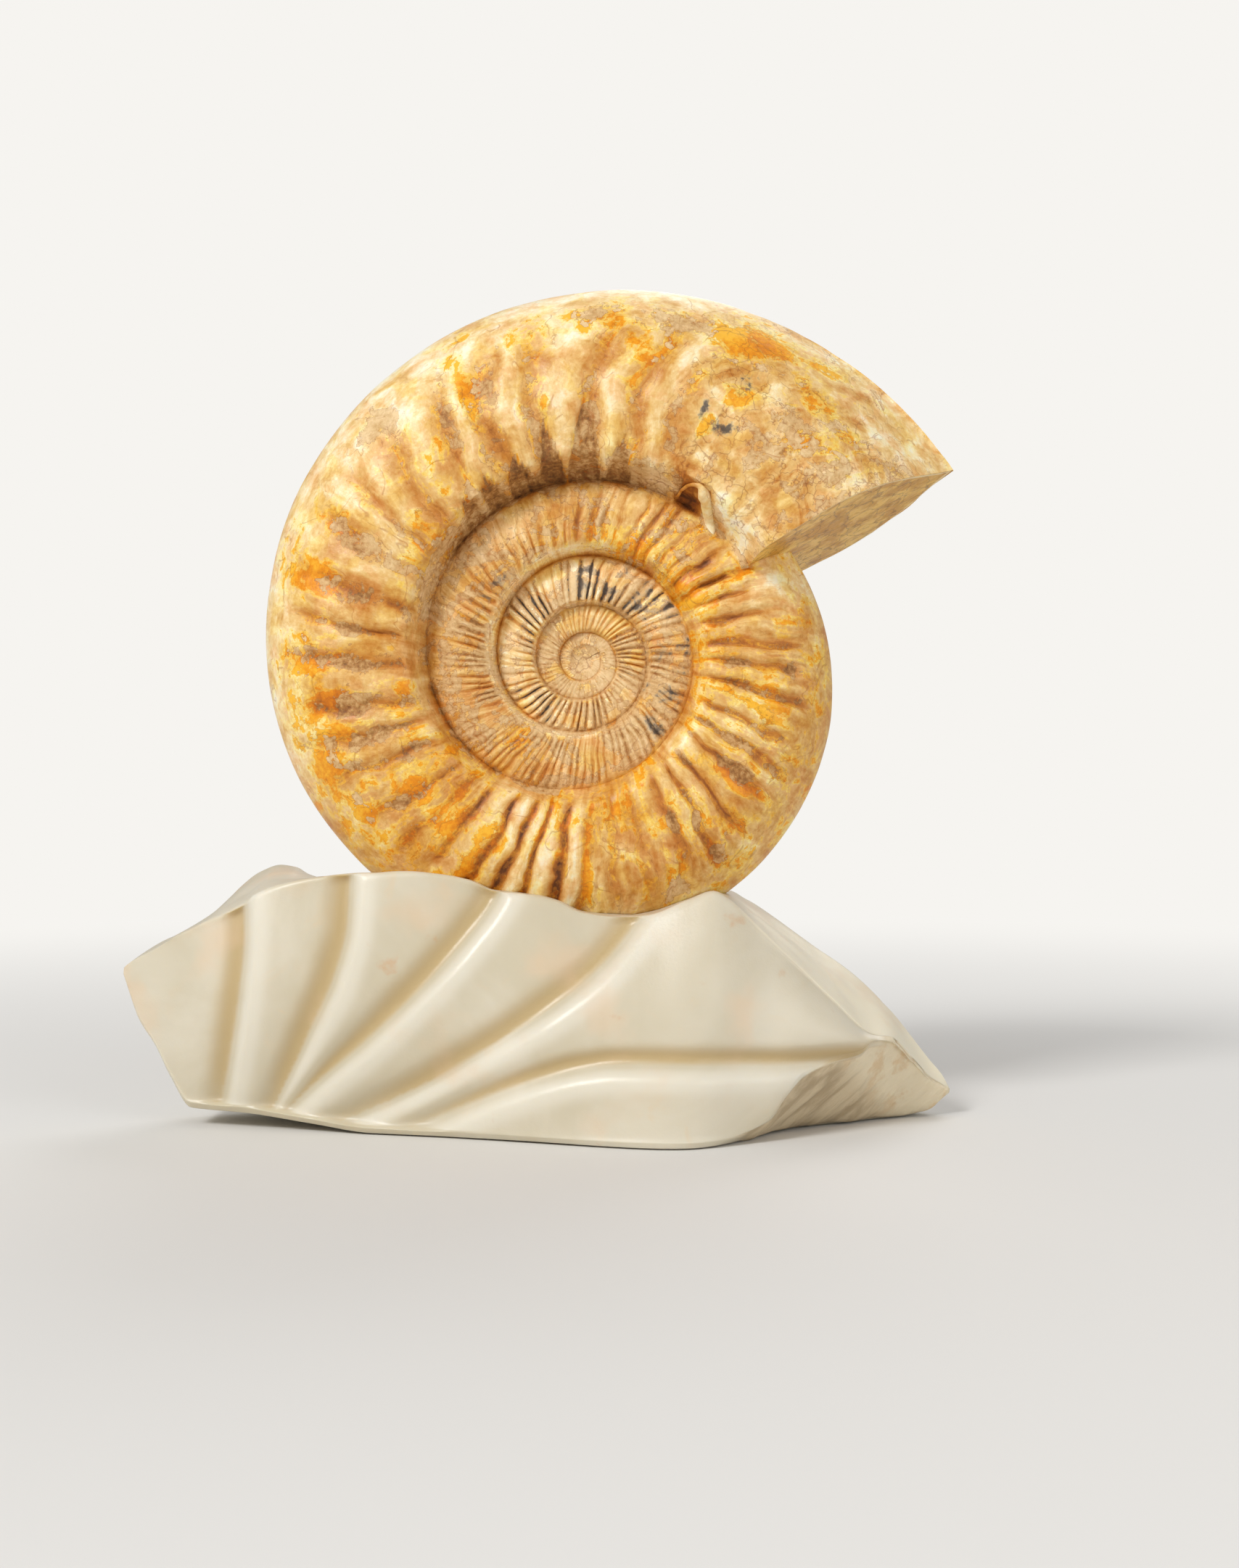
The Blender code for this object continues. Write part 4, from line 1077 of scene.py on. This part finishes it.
def base_stone():
    """Honed ivory marble with painted warm shade on the creases' steep sides, painted highlights on the ridges
    beside them and painted light on the right bevel; rough and grey-gold where it is broken.
    """
    s = Stone("ivory_marble")
    shade, broken = s.layer("shade"), s.layer("broken")
    clouds = s.noise(0.07, 4, 0.55, 0.8)
    veins = s.noise(0.022, 5, 0.62, 1.2)
    specks = s.noise(0.0012, 3, 0.6)
    s.colour = srgb(206, 195, 169)
    s.lay(s.spread(clouds, 0.36, 0.66), (219, 210, 189))
    s.lay(s.spread(veins, 0.58, 0.78, 0, 0.35), (222, 196, 158))
    # Painted shade: warm darkening on each crease's steep side, from the shade layer.
    s.lay(s.spread(shade, 0.0, 1.0, 0, 0.9), (196, 170, 120))
    # Painted highlight: paler on the ridge beside each crease, where the shade layer is below 0.
    s.lay(s.spread(shade, -0.8, 0.0, 0.7, 0.0), (232, 226, 210))
    pale = s.layer("pale")
    # Painted light: paler on the bevel's right part; also paler on the broken corner's upper right.
    s.lay(s.times(pale, 0.8), (244, 234, 208))
    peach = s.spread(s.noise(0.030, 3, 0.5), 0.54, 0.72, 0, 0.4)
    s.lay(peach, (228, 196, 160))
    rust = s.spread(s.noise(0.013, 4, 0.55), 0.66, 0.80, 0, 0.5)
    s.lay(rust, (206, 152, 98))
    strokes = s.noise(0.004, 4, 0.6, 0.3, place=s.layer("strokes", "Vector"))
    ivory, s.colour = s.colour, srgb(176, 156, 124)
    s.lay(s.spread(strokes, 0.38, 0.62), (206, 188, 156))
    s.lay(s.times(pale, 0.85), (232, 218, 188))
    honey = s.times(s.spread(s.noise(0.012, 4, 0.6), 0.50, 0.62, 0, 0.45), pale)
    s.lay(honey, (202, 160, 104))
    crushed, s.colour = s.colour, ivory
    s.lay(s.spread(broken, 0.15, 0.9), crushed)
    normal = s.bump(s.times(strokes, broken), 0.0012)
    normal = s.bump(specks, 0.00006, Normal=normal)
    gloss = s.plus(s.spread(broken, 0.2, 0.9, 0.36, 0.62), s.spread(clouds, 0.3, 0.7, -0.03, 0.05))
    return s.finish(
        gloss, normal, Subsurface_Weight=0.25, Subsurface_Radius=(1.0, 0.8, 0.55), Subsurface_Scale=0.006
    )


# ---- pieces

calcite = fossil_stone()
ammonite = make_shell(calcite, end_face_stone())
stone_base = make_base(base_stone())
cut_socket(stone_base)
for piece, node, finish in (
    (ammonite, "ammonite", "fossil_calcite"),
    (stone_base, "stone_base", "polished_marble"),
):
    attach(piece, "root")
    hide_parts(node)

# ---- floor, light and camera

BACKDROP = srgb(246, 244, 240)
FLOOR_SIZE = 6.0
FLOOR_GAP = 0.0002  # how far the floor is below the base
FLOOR_SIDES = 96
FLOOR_FADE = (0.14, 1.1)  # the floor turns into the backdrop between these distances from the middle
SURROUND = 0.40
CAMERA_PLACE = (0.0126, -0.70, 0.120)
CAMERA_LENS = 57.2
AIM = Vector((0.0, 0.0, 0.14))
LIGHTS = (
    ("key", (-1.7, -2.1, 2.1), 0.9, 69.0),
    ("fill", (2.4, -2.4, 1.2), 2.0, 26.0),
    ("back", (0.8, 2.6, 2.2), 2.0, 30.0),
)


def make_floor():
    """A pale round floor that fades into the backdrop's own colour away from the object."""
    turned = np.linspace(0, 2 * math.pi, FLOOR_SIDES + 1)[:-1]
    low = np.full(FLOOR_SIDES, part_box("stone_base")[0].z - FLOOR_GAP)
    rim = np.column_stack([FLOOR_SIZE * np.cos(turned), FLOOR_SIZE * np.sin(turned), low])
    s = Stone("floor_paper")
    far = s.node("VectorMath", {0: s.place}, operation="LENGTH")["Value"]
    glow = s.node("Emission", {"Color": BACKDROP})[0]
    away = s.times(s.spread(far, *FLOOR_FADE), s.node("LightPath")["Is Camera Ray"])
    s.end_in(away, s.surface.outputs[0], glow)
    s.feed_all(s.surface, {"Base Color": srgb(226, 224, 220), "Roughness": 0.9})
    add_object(new_mesh("floor", rim, [list(range(FLOOR_SIDES))]), s.material)


def make_world():
    """A soft pale surround; the camera sees it as the plain backdrop."""
    world = bpy.data.worlds.new("studio")
    bpy.context.scene.world = world
    w = Nodes(world)
    soft = w.tree.nodes["Background"]
    w.feed_all(soft, {"Color": (1.0, 1.0, 1.0, 1.0), "Strength": SURROUND})
    plain = w.node("Background", {"Color": BACKDROP, "Strength": 1.0})[0]
    w.end_in(w.node("LightPath")["Is Camera Ray"], soft.outputs[0], plain)


def place_object(name, data, place, turn):
    made = bpy.data.objects.new(name, data)
    made.location = place
    made.rotation_euler = turn
    bpy.context.scene.collection.objects.link(made)
    return made


def add_light(name, place, size, power):
    data = bpy.data.lights.new(name, "AREA")
    data.size = size
    data.energy = power
    place_object(name, data, place, (AIM - Vector(place)).to_track_quat("-Z", "Y").to_euler())


def add_camera():
    data = bpy.data.cameras.new("camera")
    data.sensor_fit = "HORIZONTAL"
    data.sensor_width = 36.0
    data.lens = CAMERA_LENS
    bpy.context.scene.camera = place_object("camera", data, CAMERA_PLACE, (math.radians(90), 0, 0))


make_floor()
make_world()
for light in LIGHTS:
    add_light(*light)
add_camera()
bpy.context.scene.view_settings.view_transform = "Standard"
